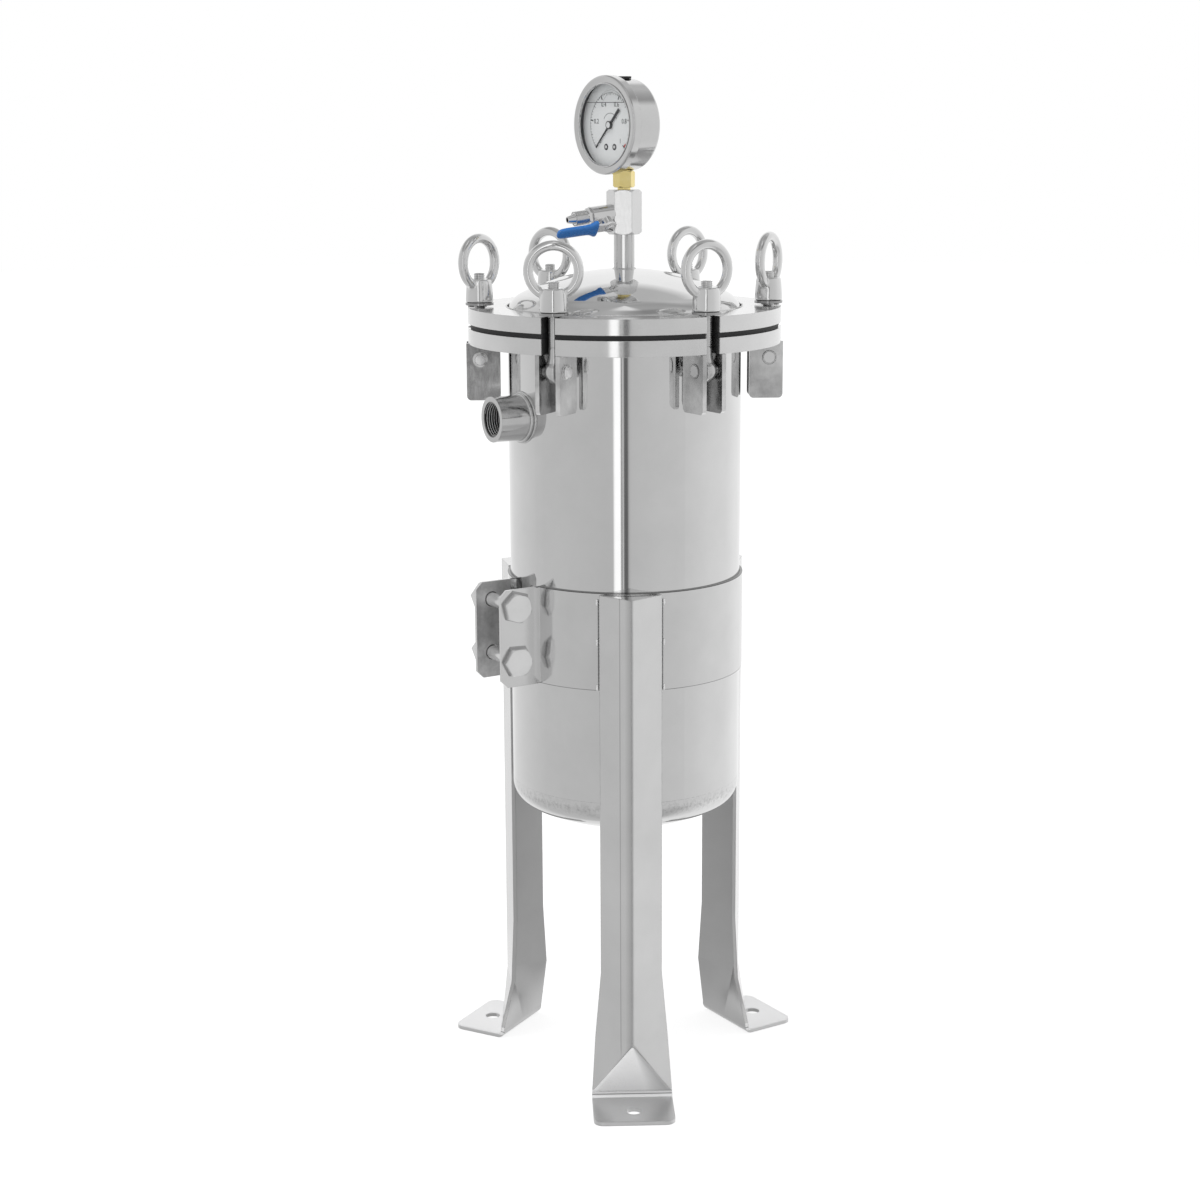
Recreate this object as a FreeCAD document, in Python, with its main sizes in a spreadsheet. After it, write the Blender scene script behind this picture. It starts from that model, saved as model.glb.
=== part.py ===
import FreeCAD, Part
import math
import os
import Sketcher

# Bag filter housing on a three-legged stand, in millimetres.
# The origin is on the floor under the vessel axis, +Z is up and the front leg stands towards -Y.
# A station angle is measured from -Y towards +X, seen from above.

DRIVING_SIZES = {
    # stand
    "leg_length": 373.0,
    "leg_wall": 3.0,
    "leg_half_width": 22.0,
    "leg_ridge_reach": 18.5,
    "leg_ridge_flat": 0.8,
    "widening_height": 95.0,
    "ridge_end_height": 47.0,
    "ridge_end_half_width": 26.2,
    "flat_height": 7.0,
    "flat_setback": 5.6,
    "flat_corner": 1.0,
    "flat_bow": 0.02,
    "foot_bend_radius": 3.0,
    "leg_cap_wall": 2.0,
    "foot_half_width": 29.0,
    "foot_length": 42.0,
    "foot_corner": 7.0,
    "foot_lap": 0.5,
    "foot_hole_radius": 5.5,
    "foot_hole_reach": 24.5,
    "seam_gap": 0.05,
    "band_rise": 1.0,
    "band_height": 70.0,
    "band_wall": 2.0,
    "band_gap": 0.15,
    "ear_half_gap": 16.3,
    "ear_wall": 2.5,
    "ear_reach": 29.5,
    "ear_chamfer": 5.0,
    "clamp_bolt_reach": 16.8,
    "clamp_bolt_pitch": 39.0,
    "clamp_bolt_rise": 2.5,
    "clamp_bolt_radius": 5.0,
    "clamp_hole_gap": 0.5,
    "clamp_hex_flats": 19.0,
    "clamp_corner_cut": 1.2,
    "clamp_head_height": 4.5,
    "clamp_nut_height": 8.0,
    "clamp_washer_wall": 1.6,
    "clamp_washer_radius": 11.5,
    "clamp_bolt_tail": 2.5,
    # vessel
    "vessel_radius": 83.5,
    "vessel_wall": 3.0,
    "shell_length": 334.5,
    "knuckle_radius": 16.7,
    "crown_radius": 167.0,
    "head_skirt": 4.0,
    "flange_margin": 8.5,
    "flange_wall": 11.0,
    "flange_height": 551.5,
    "gasket_wall": 3.5,
    "gasket_inset": 2.0,
    "gasket_bore_gap": 1.5,
    "slot_half_width": 5.4,
    "seat_depth": 19.0,
    "seat_wall": 3.0,
    "seat_width": 7.0,
    "basket_clearance": 1.0,
    "basket_rim_wall": 3.0,
    "basket_inset": 11.5,
    "basket_wall": 1.5,
    "basket_length": 285.0,
    "basket_hole_radius": 9.0,
    "basket_hole_pitch": 50.0,
    "basket_first_row": 40.0,
    "bag_clearance": 0.6,
    "bag_wall": 2.0,
    "bag_nose_radius": 22.0,
    "bag_rise": 0.3,
    "collar_height": 8.0,
    "collar_edge_height": 2.0,
    "collar_slope_start": 3.0,
    "collar_gap": 1.0,
    "port_radius": 16.0,
    "port_bore_radius": 12.5,
    "port_length": 23.5,
    "port_lap": 1.0,
    "inlet_drop": 60.0,
    "pad_radius": 17.8,
    "pad_wall": 2.2,
    "outlet_length": 24.0,
    # swing bolts
    "bolt_reach": 19.5,
    "pivot_drop": 11.5,
    "pin_radius": 4.0,
    "pin_gap": 0.05,
    "rod_radius": 3.95,
    "thread_gap": 0.05,
    "rod_length": 60.5,
    "eye_radius": 8.0,
    "eye_gap": 1.9,
    "lug_half_gap": 6.3,
    "lug_wall": 3.2,
    "lug_height": 40.5,
    "lug_inner_length": 14.2,
    "lug_outer_length": 9.8,
    "lug_corner": 3.2,
    "pin_head_radius": 5.3,
    "pin_head_wall": 1.4,
    "pin_crown_radius": 3.8,
    "pin_crown_wall": 0.9,
    "pin_end_length": 0.6,
    "washer_rest_gap": 1.05,
    "washer_wall": 1.8,
    "washer_radius": 10.0,
    "washer_bore_gap": 0.3,
    "nut_height": 16.4,
    "nut_low_radius": 9.8,
    "nut_high_radius": 8.8,
    "ring_rise": 11.5,
    "ring_radius": 17.0,
    "ring_wire_radius": 3.5,
    # lid
    "dome_tangent_rise": 4.8,
    "dome_skirt": 3.8,
    "riser_radius": 7.25,
    "riser_bore_radius": 5.0,
    "riser_length": 27.0,
    "hex_flats": 21.6,
    "hex_height": 31.0,
    "hex_bore_radius": 4.0,
    "hex_corner_cut": 1.6,
    "brass_flats": 13.5,
    "brass_height": 11.5,
    "brass_neck": 1.5,
    "brass_neck_radius": 4.6,
    "brass_corner_cut": 1.0,
    "socket_depth": 4.0,
    # gauge
    "case_radius": 31.5,
    "case_wall": 1.0,
    "case_back_depth": 8.0,
    "case_front_height": 14.7,
    "case_edge_round": 2.5,
    "bezel_radius": 34.0,
    "bezel_opening": 28.0,
    "bezel_skirt_height": 11.5,
    "bezel_lip": 2.0,
    "bezel_round": 1.6,
    "bezel_slope": 0.6,
    "glass_wall": 1.8,
    "gauge_gap": 0.1,
    "dial_height": 11.4,
    "dial_wall": 0.8,
    "spindle_radius": 1.2,
    "pointer_rise": 0.6,
    "pointer_wall": 0.5,
    "pointer_length": 21.6,
    "pointer_tail_length": 15.0,
    "pointer_half_width": 0.7,
    "pointer_tip_half_width": 0.28,
    "tail_half_width": 1.1,
    "pointer_hub_radius": 2.7,
    "pointer_hub_wall": 1.8,
    "pointer_hub_drop": 0.3,
    "spindle_depth": 7.2,
    "movement_radius": 9.0,
    "movement_wall": 9.0,
    "plug_radius": 5.3,
    "plug_rise": 1.6,
    "plug_neck": 3.8,
    # vent valve
    "valve_rise": 15.5,
    "valve_tilt": 6.0,
    "valve_radius": 6.8,
    "valve_length": 16.0,
    "valve_root": 1.7,
    "valve_bore_radius": 1.7,
    "ball_radius": 4.2,
    "ball_gap": 0.1,
    "stem_reach": 16.4,
    "stem_radius": 2.2,
    "stem_boss_radius": 4.4,
    "stem_boss_height": 10.2,
    "stem_sink": 1.26,
    "lever_gap": 0.3,
    "lever_wall": 1.6,
    "lever_half_width": 3.4,
    "lever_length": 39.7,
    "lever_hub": 4.6,
    "grip_start_length": 10.0,
    "grip_skin": 1.2,
    "grip_end_wall": 1.4,
    "grip_flare": 1.5,
    "grip_flare_edge": 2.0,
    "grip_flare_length": 7.0,
    "grip_corner": 3.0,
    "screw_radius": 2.9,
    "screw_height": 1.8,
    "screw_slot_half_width": 0.45,
    "screw_slot_depth": 0.9,
    "nipple_flats": 10.6,
    "nipple_hex_length": 3.0,
    "nipple_thread_radius": 4.6,
    "nipple_thread_length": 9.5,
    "nipple_nose_root_radius": 3.5,
    "nipple_nose_tip_radius": 2.3,
    "nipple_nose_length": 5.5,
}

FRONT_LEG_STATION = 0.0
REAR_LEG_STATION = 120.0
CLAMP_STATION = -60.0
INLET_STATION = -62.5
GAUGE_STATION = -53.5
VALVE_STATION = -65.5
STEM_ROLL = 45.0
BOLT_STATIONS = (-30.0, 30.0, 90.0, 150.0, -150.0, -90.0)
RING_TURNS = (-3.0, 30.0, 62.0, 42.0, -42.0, 50.0)
CLAMP_HEAD_TURNS = (12.0, 29.0)
CLAMP_NUT_TURN = 20.0
NIPPLE_TURN = 15.0
POINTER_ZERO = 135.0
BASKET_COLUMNS = 8
BASKET_ROWS = 5

# Part of a corner radius that its arc leaves free on each axis halfway round
ARC_BULGE = 1.0 - math.sqrt(0.5)
# How far a cutting shape runs past the solid that it cuts
CUT_MARGIN = 5.0

X_AXIS = FreeCAD.Vector(1, 0, 0)
Y_AXIS = FreeCAD.Vector(0, 1, 0)
Z_AXIS = FreeCAD.Vector(0, 0, 1)

doc = FreeCAD.newDocument("bag_filter_housing")
sheet = doc.addObject("Spreadsheet::Sheet", "Sizes")
node_objects = []


class Size:
    """A length with its number and the spreadsheet formula that gives it."""

    def __init__(self, value, text):
        self.value = value
        self.text = text

    def __add__(self, other):
        other = as_size(other)
        return Size(self.value + other.value, f"({self.text} + {other.text})")

    def __radd__(self, other):
        return as_size(other) + self

    def __sub__(self, other):
        other = as_size(other)
        return Size(self.value - other.value, f"({self.text} - {other.text})")

    def __rsub__(self, other):
        return as_size(other) - self

    def __mul__(self, other):
        other = as_size(other)
        return Size(self.value * other.value, f"({self.text} * {other.text})")

    def __rmul__(self, other):
        return as_size(other) * self

    def __truediv__(self, other):
        other = as_size(other)
        return Size(self.value / other.value, f"({self.text} / {other.text})")

    def __neg__(self):
        return Size(-self.value, f"(-1 * {self.text})")


def as_size(number):
    if isinstance(number, Size):
        return number
    return Size(float(number), f"({float(number):.9f})")


def root(size):
    return Size(math.sqrt(size.value), f"sqrt({size.text})")


def write_sheet():
    sizes = {}
    for row, (alias, number) in enumerate(DRIVING_SIZES.items(), start=1):
        sheet.set(f"A{row}", alias.replace("_", " "))
        sheet.set(f"B{row}", str(number))
        sheet.setAlias(f"B{row}", alias)
        sizes[alias] = Size(number, f"Sizes.{alias}")
    doc.recompute()
    return sizes


D = write_sheet()

# Levels and radii that several pieces share
vessel_inner = D["vessel_radius"] - D["vessel_wall"]
band_inner = D["vessel_radius"] + D["band_gap"]
band_outer = band_inner + D["band_wall"]
band_low = D["leg_length"] + D["band_rise"] - D["band_height"]
band_middle = band_low + D["band_height"] / 2
bolt_circle = D["vessel_radius"] + D["bolt_reach"]
flange_radius = bolt_circle + D["flange_margin"]
gasket_radius = flange_radius - D["gasket_inset"]
gasket_bore = D["vessel_radius"] + D["gasket_bore_gap"]
basket_radius = vessel_inner - D["basket_inset"]
shell_low = D["flange_height"] - D["shell_length"]
flange_bottom = D["flange_height"] - D["flange_wall"]
flange_bore = D["vessel_radius"] + D["seam_gap"]
lid_bottom = D["flange_height"] + D["gasket_wall"]
lid_top = lid_bottom + D["flange_wall"]
pivot_level = flange_bottom - D["pivot_drop"]
washer_bottom = lid_top + D["washer_rest_gap"]
nut_bottom = washer_bottom + D["washer_wall"]
nut_top = nut_bottom + D["nut_height"]
ring_level = nut_top + D["ring_rise"]
seat_top = D["flange_height"] - D["seat_depth"]
rim_top = seat_top + D["basket_rim_wall"]
inlet_level = D["flange_height"] - D["inlet_drop"]
port_hole = D["port_radius"] + D["seam_gap"]

# Height of a dished head from the tangent line to its crown
knuckle_centre = D["vessel_radius"] - D["knuckle_radius"]
crown_span = D["crown_radius"] - D["knuckle_radius"]
crown_centre_drop = root(crown_span * crown_span - knuckle_centre * knuckle_centre)
head_height = D["crown_radius"] - crown_centre_drop
dome_tangent = lid_bottom + D["dome_tangent_rise"]
dome_apex = dome_tangent + head_height
riser_bottom = dome_apex - D["vessel_wall"]
hex_bottom = riser_bottom + D["riser_length"]
hex_top = hex_bottom + D["hex_height"]
brass_top = hex_top + D["brass_neck"] + D["brass_height"]
gauge_level = brass_top + D["case_radius"]
valve_level = hex_bottom + D["valve_rise"]
vessel_bottom = shell_low - head_height


def station(angle):
    return FreeCAD.Placement(FreeCAD.Vector(0, 0, 0), FreeCAD.Rotation(Z_AXIS, angle))


def keep(obj, node):
    obj.Label = node
    node_objects.append(obj)
    return obj


def bind_base(obj, x, y, z):
    for axis_name, size in (("x", x), ("y", y), ("z", z)):
        obj.setExpression(f"Placement.Base.{axis_name}", as_size(size).text)


def body(name):
    return doc.addObject("PartDesign::Body", name)


def origin_part(owner, role):
    return next(item for item in owner.Origin.OriginFeatures if item.Role == role)


def place_point(sketch, geo, end, x, y):
    for kind, distance in (("DistanceX", x), ("DistanceY", y)):
        size = as_size(distance)
        number = sketch.addConstraint(Sketcher.Constraint(kind, -1, 1, geo, end, size.value))
        sketch.setExpression(f"Constraints[{number}]", size.text)


def new_sketch(owner, name, role, offset=0.0):
    """A sketch on one of the owner's origin planes, moved along its normal."""
    sketch = owner.newObject("Sketcher::SketchObject", name)
    sketch.AttachmentSupport = [(origin_part(owner, role), "")]
    sketch.MapMode = "FlatFace"
    offset = as_size(offset)
    sketch.AttachmentOffset = FreeCAD.Placement(FreeCAD.Vector(0, 0, offset.value), FreeCAD.Rotation())
    sketch.setExpression("AttachmentOffset.Base.z", offset.text)
    return sketch


def outline(sketch, points):
    """A closed outline. A point is (x, y), and (x, y, mx, my) ends an arc that passes (mx, my)."""
    corners = [tuple(as_size(part) for part in point) for point in points]
    count = len(points)
    ends = []
    for index, corner in enumerate(corners):
        start = FreeCAD.Vector(corners[index - 1][0].value, corners[index - 1][1].value, 0)
        end = FreeCAD.Vector(corner[0].value, corner[1].value, 0)
        if len(corner) == 2:
            sketch.addGeometry(Part.LineSegment(start, end), False)
            ends.append((1, 2))
        else:
            middle = FreeCAD.Vector(corner[2].value, corner[3].value, 0)
            turn = (middle - start).cross(end - middle).z
            arc = Part.Arc(start, middle, end) if turn > 0 else Part.Arc(end, middle, start)
            sketch.addGeometry(arc, False)
            ends.append((1, 2) if turn > 0 else (2, 1))
    first = sketch.GeometryCount - count
    for index, corner in enumerate(corners):
        place_point(sketch, first + index, ends[index][1], corner[0], corner[1])
    for index in range(count):
        following = (index + 1) % count
        sketch.addConstraint(Sketcher.Constraint(
            "Coincident", first + index, ends[index][1], first + following, ends[following][0]))
    for index, corner in enumerate(corners):
        if len(corner) == 4:
            hold_arc(sketch, first + index, corner)


def hold_arc(sketch, index, point):
    marker = sketch.addGeometry(Part.Point(FreeCAD.Vector(point[2].value, point[3].value, 0)), True)
    place_point(sketch, marker, 1, point[2], point[3])
    sketch.addConstraint(Sketcher.Constraint("PointOnObject", marker, 1, index))


def circle(sketch, x, y, radius):
    centre = FreeCAD.Vector(as_size(x).value, as_size(y).value, 0)
    index = sketch.addGeometry(Part.Circle(centre, Z_AXIS, as_size(radius).value), False)
    place_point(sketch, index, 3, x, y)
    number = sketch.addConstraint(Sketcher.Constraint("Radius", index, as_size(radius).value))
    sketch.setExpression(f"Constraints[{number}]", as_size(radius).text)


def revolve(owner, name, points):
    """A full turn about the Z axis of an outline drawn as (radius, height)."""
    sketch = new_sketch(owner, name + "_profile", "XZ_Plane")
    outline(sketch, points)
    turn = owner.newObject("PartDesign::Revolution", name)
    turn.Profile = sketch
    turn.ReferenceAxis = (sketch, ["V_Axis"])
    turn.Angle = 360
    return turn


def pad(owner, name, sketch, length, both_sides=False, backwards=False):
    feature = owner.newObject("PartDesign::Pad", name)
    feature.Profile = sketch
    feature.setExpression("Length", as_size(length).text)
    feature.Midplane = both_sides
    feature.Reversed = backwards
    return feature


def pocket(owner, name, sketch, length, both_sides=False, backwards=False):
    feature = owner.newObject("PartDesign::Pocket", name)
    feature.Profile = sketch
    feature.setExpression("Length", as_size(length).text)
    feature.Midplane = both_sides
    feature.Reversed = backwards
    return feature


def turn_copies(owner, name, feature, count):
    pattern = owner.newObject("PartDesign::PolarPattern", name)
    pattern.Originals = [feature]
    pattern.Axis = (origin_part(owner, "Z_Axis"), [""])
    pattern.Angle = 360
    pattern.Occurrences = count
    owner.Tip = pattern
    return pattern


def solid_cylinder(name, radius, length, base=(0, 0, 0), axis=Z_AXIS):
    obj = doc.addObject("Part::Cylinder", name)
    obj.setExpression("Radius", as_size(radius).text)
    obj.setExpression("Height", as_size(length).text)
    obj.Placement = FreeCAD.Placement(FreeCAD.Vector(0, 0, 0), FreeCAD.Rotation(Z_AXIS, axis))
    bind_base(obj, *base)
    return obj


def solid_cone(name, low_radius, high_radius, length, base=(0, 0, 0), axis=Z_AXIS):
    obj = doc.addObject("Part::Cone", name)
    obj.setExpression("Radius1", as_size(low_radius).text)
    obj.setExpression("Radius2", as_size(high_radius).text)
    obj.setExpression("Height", as_size(length).text)
    obj.Placement = FreeCAD.Placement(FreeCAD.Vector(0, 0, 0), FreeCAD.Rotation(Z_AXIS, axis))
    bind_base(obj, *base)
    return obj


def solid_prism(name, across_flats, length, base=(0, 0, 0), axis=Z_AXIS, turn=0.0):
    """A hexagonal bar with flats that face 30 degrees off the turn angle."""
    obj = doc.addObject("Part::Prism", name)
    obj.Polygon = 6
    obj.setExpression("Circumradius", (as_size(across_flats) / math.sqrt(3.0)).text)
    obj.setExpression("Height", as_size(length).text)
    rotation = FreeCAD.Rotation(Z_AXIS, axis).multiply(FreeCAD.Rotation(Z_AXIS, turn))
    obj.Placement = FreeCAD.Placement(FreeCAD.Vector(0, 0, 0), rotation)
    bind_base(obj, *base)
    return obj


def subtract(name, base, tool):
    obj = doc.addObject("Part::Cut", name)
    obj.Base = base
    obj.Tool = tool
    return obj


def join(name, shapes):
    obj = doc.addObject("Part::MultiFuse", name)
    obj.Shapes = shapes
    return obj


def overlap(name, shapes):
    obj = doc.addObject("Part::MultiCommon", name)
    obj.Shapes = shapes
    return obj


def bar_section(half_width, edge_reach, ridge_reach, ridge_flat, wall):
    """Corner points of a folded strip: outer edge, ridge, outer edge, then back along the inside."""
    slope = as_size(ridge_reach) - edge_reach
    run = as_size(half_width) - ridge_flat
    side = root(slope * slope + run * run)
    in_x = wall * slope / side
    in_y = wall * run / side
    edge_y = -1 * as_size(edge_reach)
    ridge_y = -1 * as_size(ridge_reach)
    inner_ridge = ridge_y + wall * side / run - ridge_flat * slope / run
    return [
        (-1 * as_size(half_width), edge_y),
        (-1 * as_size(ridge_flat), ridge_y),
        (as_size(ridge_flat), ridge_y),
        (as_size(half_width), edge_y),
        (as_size(half_width) - in_x, edge_y + in_y),
        (as_size(0.0), inner_ridge),
        (-1 * as_size(half_width) + in_x, edge_y + in_y),
    ]


def leg_section(owner, name, half_width, height):
    """The folded section of a leg at one height."""
    sketch = new_sketch(owner, name, "XY_Plane", height)
    ridge_reach = band_outer + D["leg_ridge_reach"]
    outline(sketch, bar_section(half_width, band_outer, ridge_reach, D["leg_ridge_flat"], D["leg_wall"]))
    return sketch


def flat_section(owner, name, height):
    """The leg's section where its ridge has flattened, with as many corners as the folded one."""
    sketch = new_sketch(owner, name, "XY_Plane", height)
    wide = D["foot_half_width"]
    inner = -1 * (band_outer + D["flat_setback"])
    outer = inner - D["leg_wall"]
    outline(sketch, [
        (-1 * wide, outer),
        (D["flat_corner"] - wide, outer - D["flat_bow"]),
        (wide - D["flat_corner"], outer - D["flat_bow"]),
        (wide, outer),
        (wide, inner),
        (as_size(0.0), inner),
        (-1 * wide, inner),
    ])
    return sketch


def leg_loft(owner, name, upper, lower):
    feature = owner.newObject("PartDesign::AdditiveLoft", name)
    feature.Profile = upper
    feature.Sections = [lower]
    feature.Ruled = True
    return feature


def foot_bend(owner, name):
    """The flat end of the leg and its bend into the foot, drawn from the side."""
    wall = D["leg_wall"]
    back = -1 * (band_outer + D["flat_setback"])
    heel = wall + D["foot_bend_radius"]
    heel_bulge = heel * ARC_BULGE
    turn = D["foot_bend_radius"] * ARC_BULGE
    sketch = new_sketch(owner, name + "_outline", "YZ_Plane", -1 * D["foot_half_width"])
    outline(sketch, [
        (back, D["flat_height"]),
        (back, heel),
        (back - heel, as_size(0.0), back - heel_bulge, heel_bulge),
        (back - heel, wall),
        (back - wall, heel, back - wall - turn, wall + turn),
        (back - wall, D["flat_height"]),
    ])
    return pad(owner, name, sketch, D["foot_half_width"] * 2)


def foot_plate(owner, name):
    wall = D["leg_wall"]
    wide = D["foot_half_width"]
    back = -1 * (band_outer + D["flat_setback"] + wall + D["foot_bend_radius"] - D["foot_lap"])
    front = -1 * (band_outer + D["flat_setback"] + wall + D["foot_length"])
    corner = D["foot_corner"]
    bulge = corner * ARC_BULGE
    plate = new_sketch(owner, name + "_outline", "XY_Plane", 0.0)
    outline(plate, [
        (-1 * wide, back),
        (-1 * wide, front + corner),
        (corner - wide, front, bulge - wide, front + bulge),
        (wide - corner, front),
        (wide, front + corner, wide - bulge, front + bulge),
        (wide, back),
    ])
    pad(owner, name, plate, wall)
    hole = new_sketch(owner, name + "_hole_outline", "XY_Plane", 0.0)
    reach = band_outer + D["flat_setback"] + wall + D["foot_hole_reach"]
    circle(hole, 0.0, -1 * reach, D["foot_hole_radius"])
    return pocket(owner, name + "_hole", hole, wall * 2, both_sides=True)


def leg(node, angle):
    """A folded strip with a capped top; it widens downward, flattens and bends out into a foot."""
    owner = body(node + "_body")
    section = leg_section(owner, node + "_section", D["leg_half_width"], D["widening_height"])
    pad(owner, node + "_strip", section, D["leg_length"] - D["widening_height"])
    cap = new_sketch(owner, node + "_cap_outline", "XY_Plane", D["leg_length"] - D["leg_cap_wall"])
    edge = D["leg_half_width"] - D["leg_wall"]
    ridge = -1 * (band_outer + D["leg_ridge_reach"]) + D["leg_wall"]
    outline(cap, [
        (-1 * edge, -1 * band_outer),
        (-1 * D["leg_ridge_flat"], ridge),
        (D["leg_ridge_flat"], ridge),
        (edge, -1 * band_outer),
    ])
    pad(owner, node + "_cap", cap, D["leg_cap_wall"])
    widening = leg_section(owner, node + "_widening", D["leg_half_width"], D["widening_height"])
    ridge_end = leg_section(owner, node + "_ridge_end", D["ridge_end_half_width"], D["ridge_end_height"])
    leg_loft(owner, node + "_spread", widening, ridge_end)
    flare = leg_section(owner, node + "_flare", D["ridge_end_half_width"], D["ridge_end_height"])
    leg_loft(owner, node + "_flattening", flare, flat_section(owner, node + "_flat", D["flat_height"]))
    foot_bend(owner, node + "_bend")
    owner.Tip = foot_plate(owner, node + "_foot")
    owner.Placement = station(angle)
    return keep(owner, node)


def clamp_band(node):
    """The band round the vessel, open between two ears that the clamp bolts draw together."""
    owner = body(node + "_body")
    top = band_low + D["band_height"]
    revolve(owner, node + "_ring", [
        (band_inner, band_low),
        (band_outer, band_low),
        (band_outer, top),
        (band_inner, top),
    ])
    gap = new_sketch(owner, node + "_gap_outline", "XY_Plane", band_low)
    outline(gap, [
        (-1 * D["ear_half_gap"], -1 * (band_outer + CUT_MARGIN)),
        (D["ear_half_gap"], -1 * (band_outer + CUT_MARGIN)),
        (D["ear_half_gap"], CUT_MARGIN - band_inner),
        (-1 * D["ear_half_gap"], CUT_MARGIN - band_inner),
    ])
    pocket(owner, node + "_gap", gap, D["band_height"], backwards=True)
    ear_inner = root(band_inner * band_inner - D["ear_half_gap"] * D["ear_half_gap"])
    ear_outer = -1 * (band_outer + D["ear_reach"])
    chamfer = D["ear_chamfer"]
    for side, sign in (("front", 1), ("rear", -1)):
        offset = D["ear_half_gap"] if sign > 0 else -1 * D["ear_half_gap"]
        ear = new_sketch(owner, f"{node}_{side}_ear_outline", "YZ_Plane", offset)
        outline(ear, [
            (-1 * ear_inner, band_low),
            (ear_outer + chamfer, band_low),
            (ear_outer, band_low + chamfer),
            (ear_outer, top - chamfer),
            (ear_outer + chamfer, top),
            (-1 * ear_inner, top),
        ])
        pad(owner, f"{node}_{side}_ear", ear, D["ear_wall"], backwards=sign < 0)
    holes = new_sketch(owner, node + "_hole_outline", "YZ_Plane", 0.0)
    hole_reach = -1 * (band_outer + D["clamp_bolt_reach"])
    hole_radius = D["clamp_bolt_radius"] + D["clamp_hole_gap"]
    for sign in (1, -1):
        level = band_middle + D["clamp_bolt_rise"] + sign * D["clamp_bolt_pitch"] / 2
        circle(holes, hole_reach, level, hole_radius)
    through = (D["ear_half_gap"] + D["ear_wall"] + CUT_MARGIN) * 2
    pocket(owner, node + "_holes", holes, through, both_sides=True)
    bore = new_sketch(owner, node + "_bore_outline", "XY_Plane", band_low)
    circle(bore, 0.0, 0.0, band_inner)
    cut = pocket(owner, node + "_bore", bore, D["band_height"], backwards=True)
    owner.Tip = cut
    owner.Placement = station(CLAMP_STATION)
    return keep(owner, node)


def clamp_fasteners():
    reach = -1 * (band_outer + D["clamp_bolt_reach"])
    ear_face = D["ear_half_gap"] + D["ear_wall"]
    washer_face = ear_face + D["clamp_washer_wall"]
    hole_radius = D["clamp_bolt_radius"] + D["seam_gap"]
    tail = washer_face + D["clamp_nut_height"] + D["clamp_bolt_tail"]
    corner = D["clamp_hex_flats"] / math.sqrt(3.0) - D["clamp_corner_cut"]
    bolts = []
    nuts = []
    washers = []
    for index, sign in enumerate((1, -1)):
        level = band_middle + D["clamp_bolt_rise"] + sign * D["clamp_bolt_pitch"] / 2
        shank = solid_cylinder(f"clamp_shank_{index}", D["clamp_bolt_radius"], ear_face + tail,
                               (-1 * tail, reach, level), X_AXIS)
        head = solid_prism(f"clamp_head_{index}", D["clamp_hex_flats"], D["clamp_head_height"],
                           (ear_face, reach, level), X_AXIS, CLAMP_HEAD_TURNS[index])
        face = solid_cone(f"clamp_head_face_{index}", corner + D["clamp_head_height"], corner,
                          D["clamp_head_height"], (ear_face, reach, level), X_AXIS)
        bolts += [shank, overlap(f"clamp_cut_head_{index}", [head, face])]
        nut_base = (-1 * (washer_face + D["clamp_nut_height"]), reach, level)
        nut = solid_prism(f"clamp_nut_{index}", D["clamp_hex_flats"], D["clamp_nut_height"],
                          nut_base, X_AXIS, CLAMP_NUT_TURN)
        bore = solid_cylinder(f"clamp_nut_bore_{index}", hole_radius, tail * 2,
                              (-1 * tail * 2, reach, level), X_AXIS)
        nuts.append(subtract(f"clamp_bored_nut_{index}", nut, bore))
        base = (-1 * washer_face, reach, level)
        disc = solid_cylinder(f"clamp_washer_{index}", D["clamp_washer_radius"],
                              D["clamp_washer_wall"], base, X_AXIS)
        bore = solid_cylinder(f"clamp_washer_bore_{index}", hole_radius,
                              D["clamp_washer_wall"], base, X_AXIS)
        washers.append(subtract(f"clamp_ring_{index}", disc, bore))
    for node, shapes in (("clamp_bolts", bolts), ("clamp_nuts", nuts), ("clamp_washers", washers)):
        obj = join(node + "_solid", shapes)
        obj.Placement = station(CLAMP_STATION)
        keep(obj, node)


def head_profile(tangent, side, skirt, hole):
    """Half section of a dished head; side is 1 for a head that rises and -1 for one that hangs."""
    wall = D["vessel_wall"]
    inner_knuckle = D["knuckle_radius"] - wall
    inner_crown = D["crown_radius"] - wall
    meet = D["knuckle_radius"] / crown_span
    outer_x = knuckle_centre + knuckle_centre * meet
    outer_y = crown_centre_drop * meet
    inner_meet = inner_knuckle / crown_span
    inner_x = knuckle_centre + knuckle_centre * inner_meet
    inner_y = crown_centre_drop * inner_meet

    def up(size):
        return tangent + side * as_size(size)

    def crown_level(radius, x):
        return up(root(radius * radius - x * x) - crown_centre_drop)

    lean = 0.5 * math.atan2(crown_centre_drop.value, knuckle_centre.value)
    across = math.cos(lean)
    rise = math.sin(lean)
    outer_mid = (knuckle_centre + D["knuckle_radius"] * across, up(D["knuckle_radius"] * rise))
    inner_mid = (knuckle_centre + inner_knuckle * across, up(inner_knuckle * rise))
    middle = outer_x * 0.5
    hole = as_size(hole)
    return [
        (D["vessel_radius"], up(-1 * skirt)),
        (D["vessel_radius"], tangent),
        (outer_x, up(outer_y), *outer_mid),
        (hole, crown_level(D["crown_radius"], hole), middle, crown_level(D["crown_radius"], middle)),
        (hole, crown_level(inner_crown, hole)),
        (inner_x, up(inner_y), middle, crown_level(inner_crown, middle)),
        (D["vessel_radius"] - wall, tangent, *inner_mid),
        (D["vessel_radius"] - wall, up(-1 * skirt)),
    ]


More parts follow.
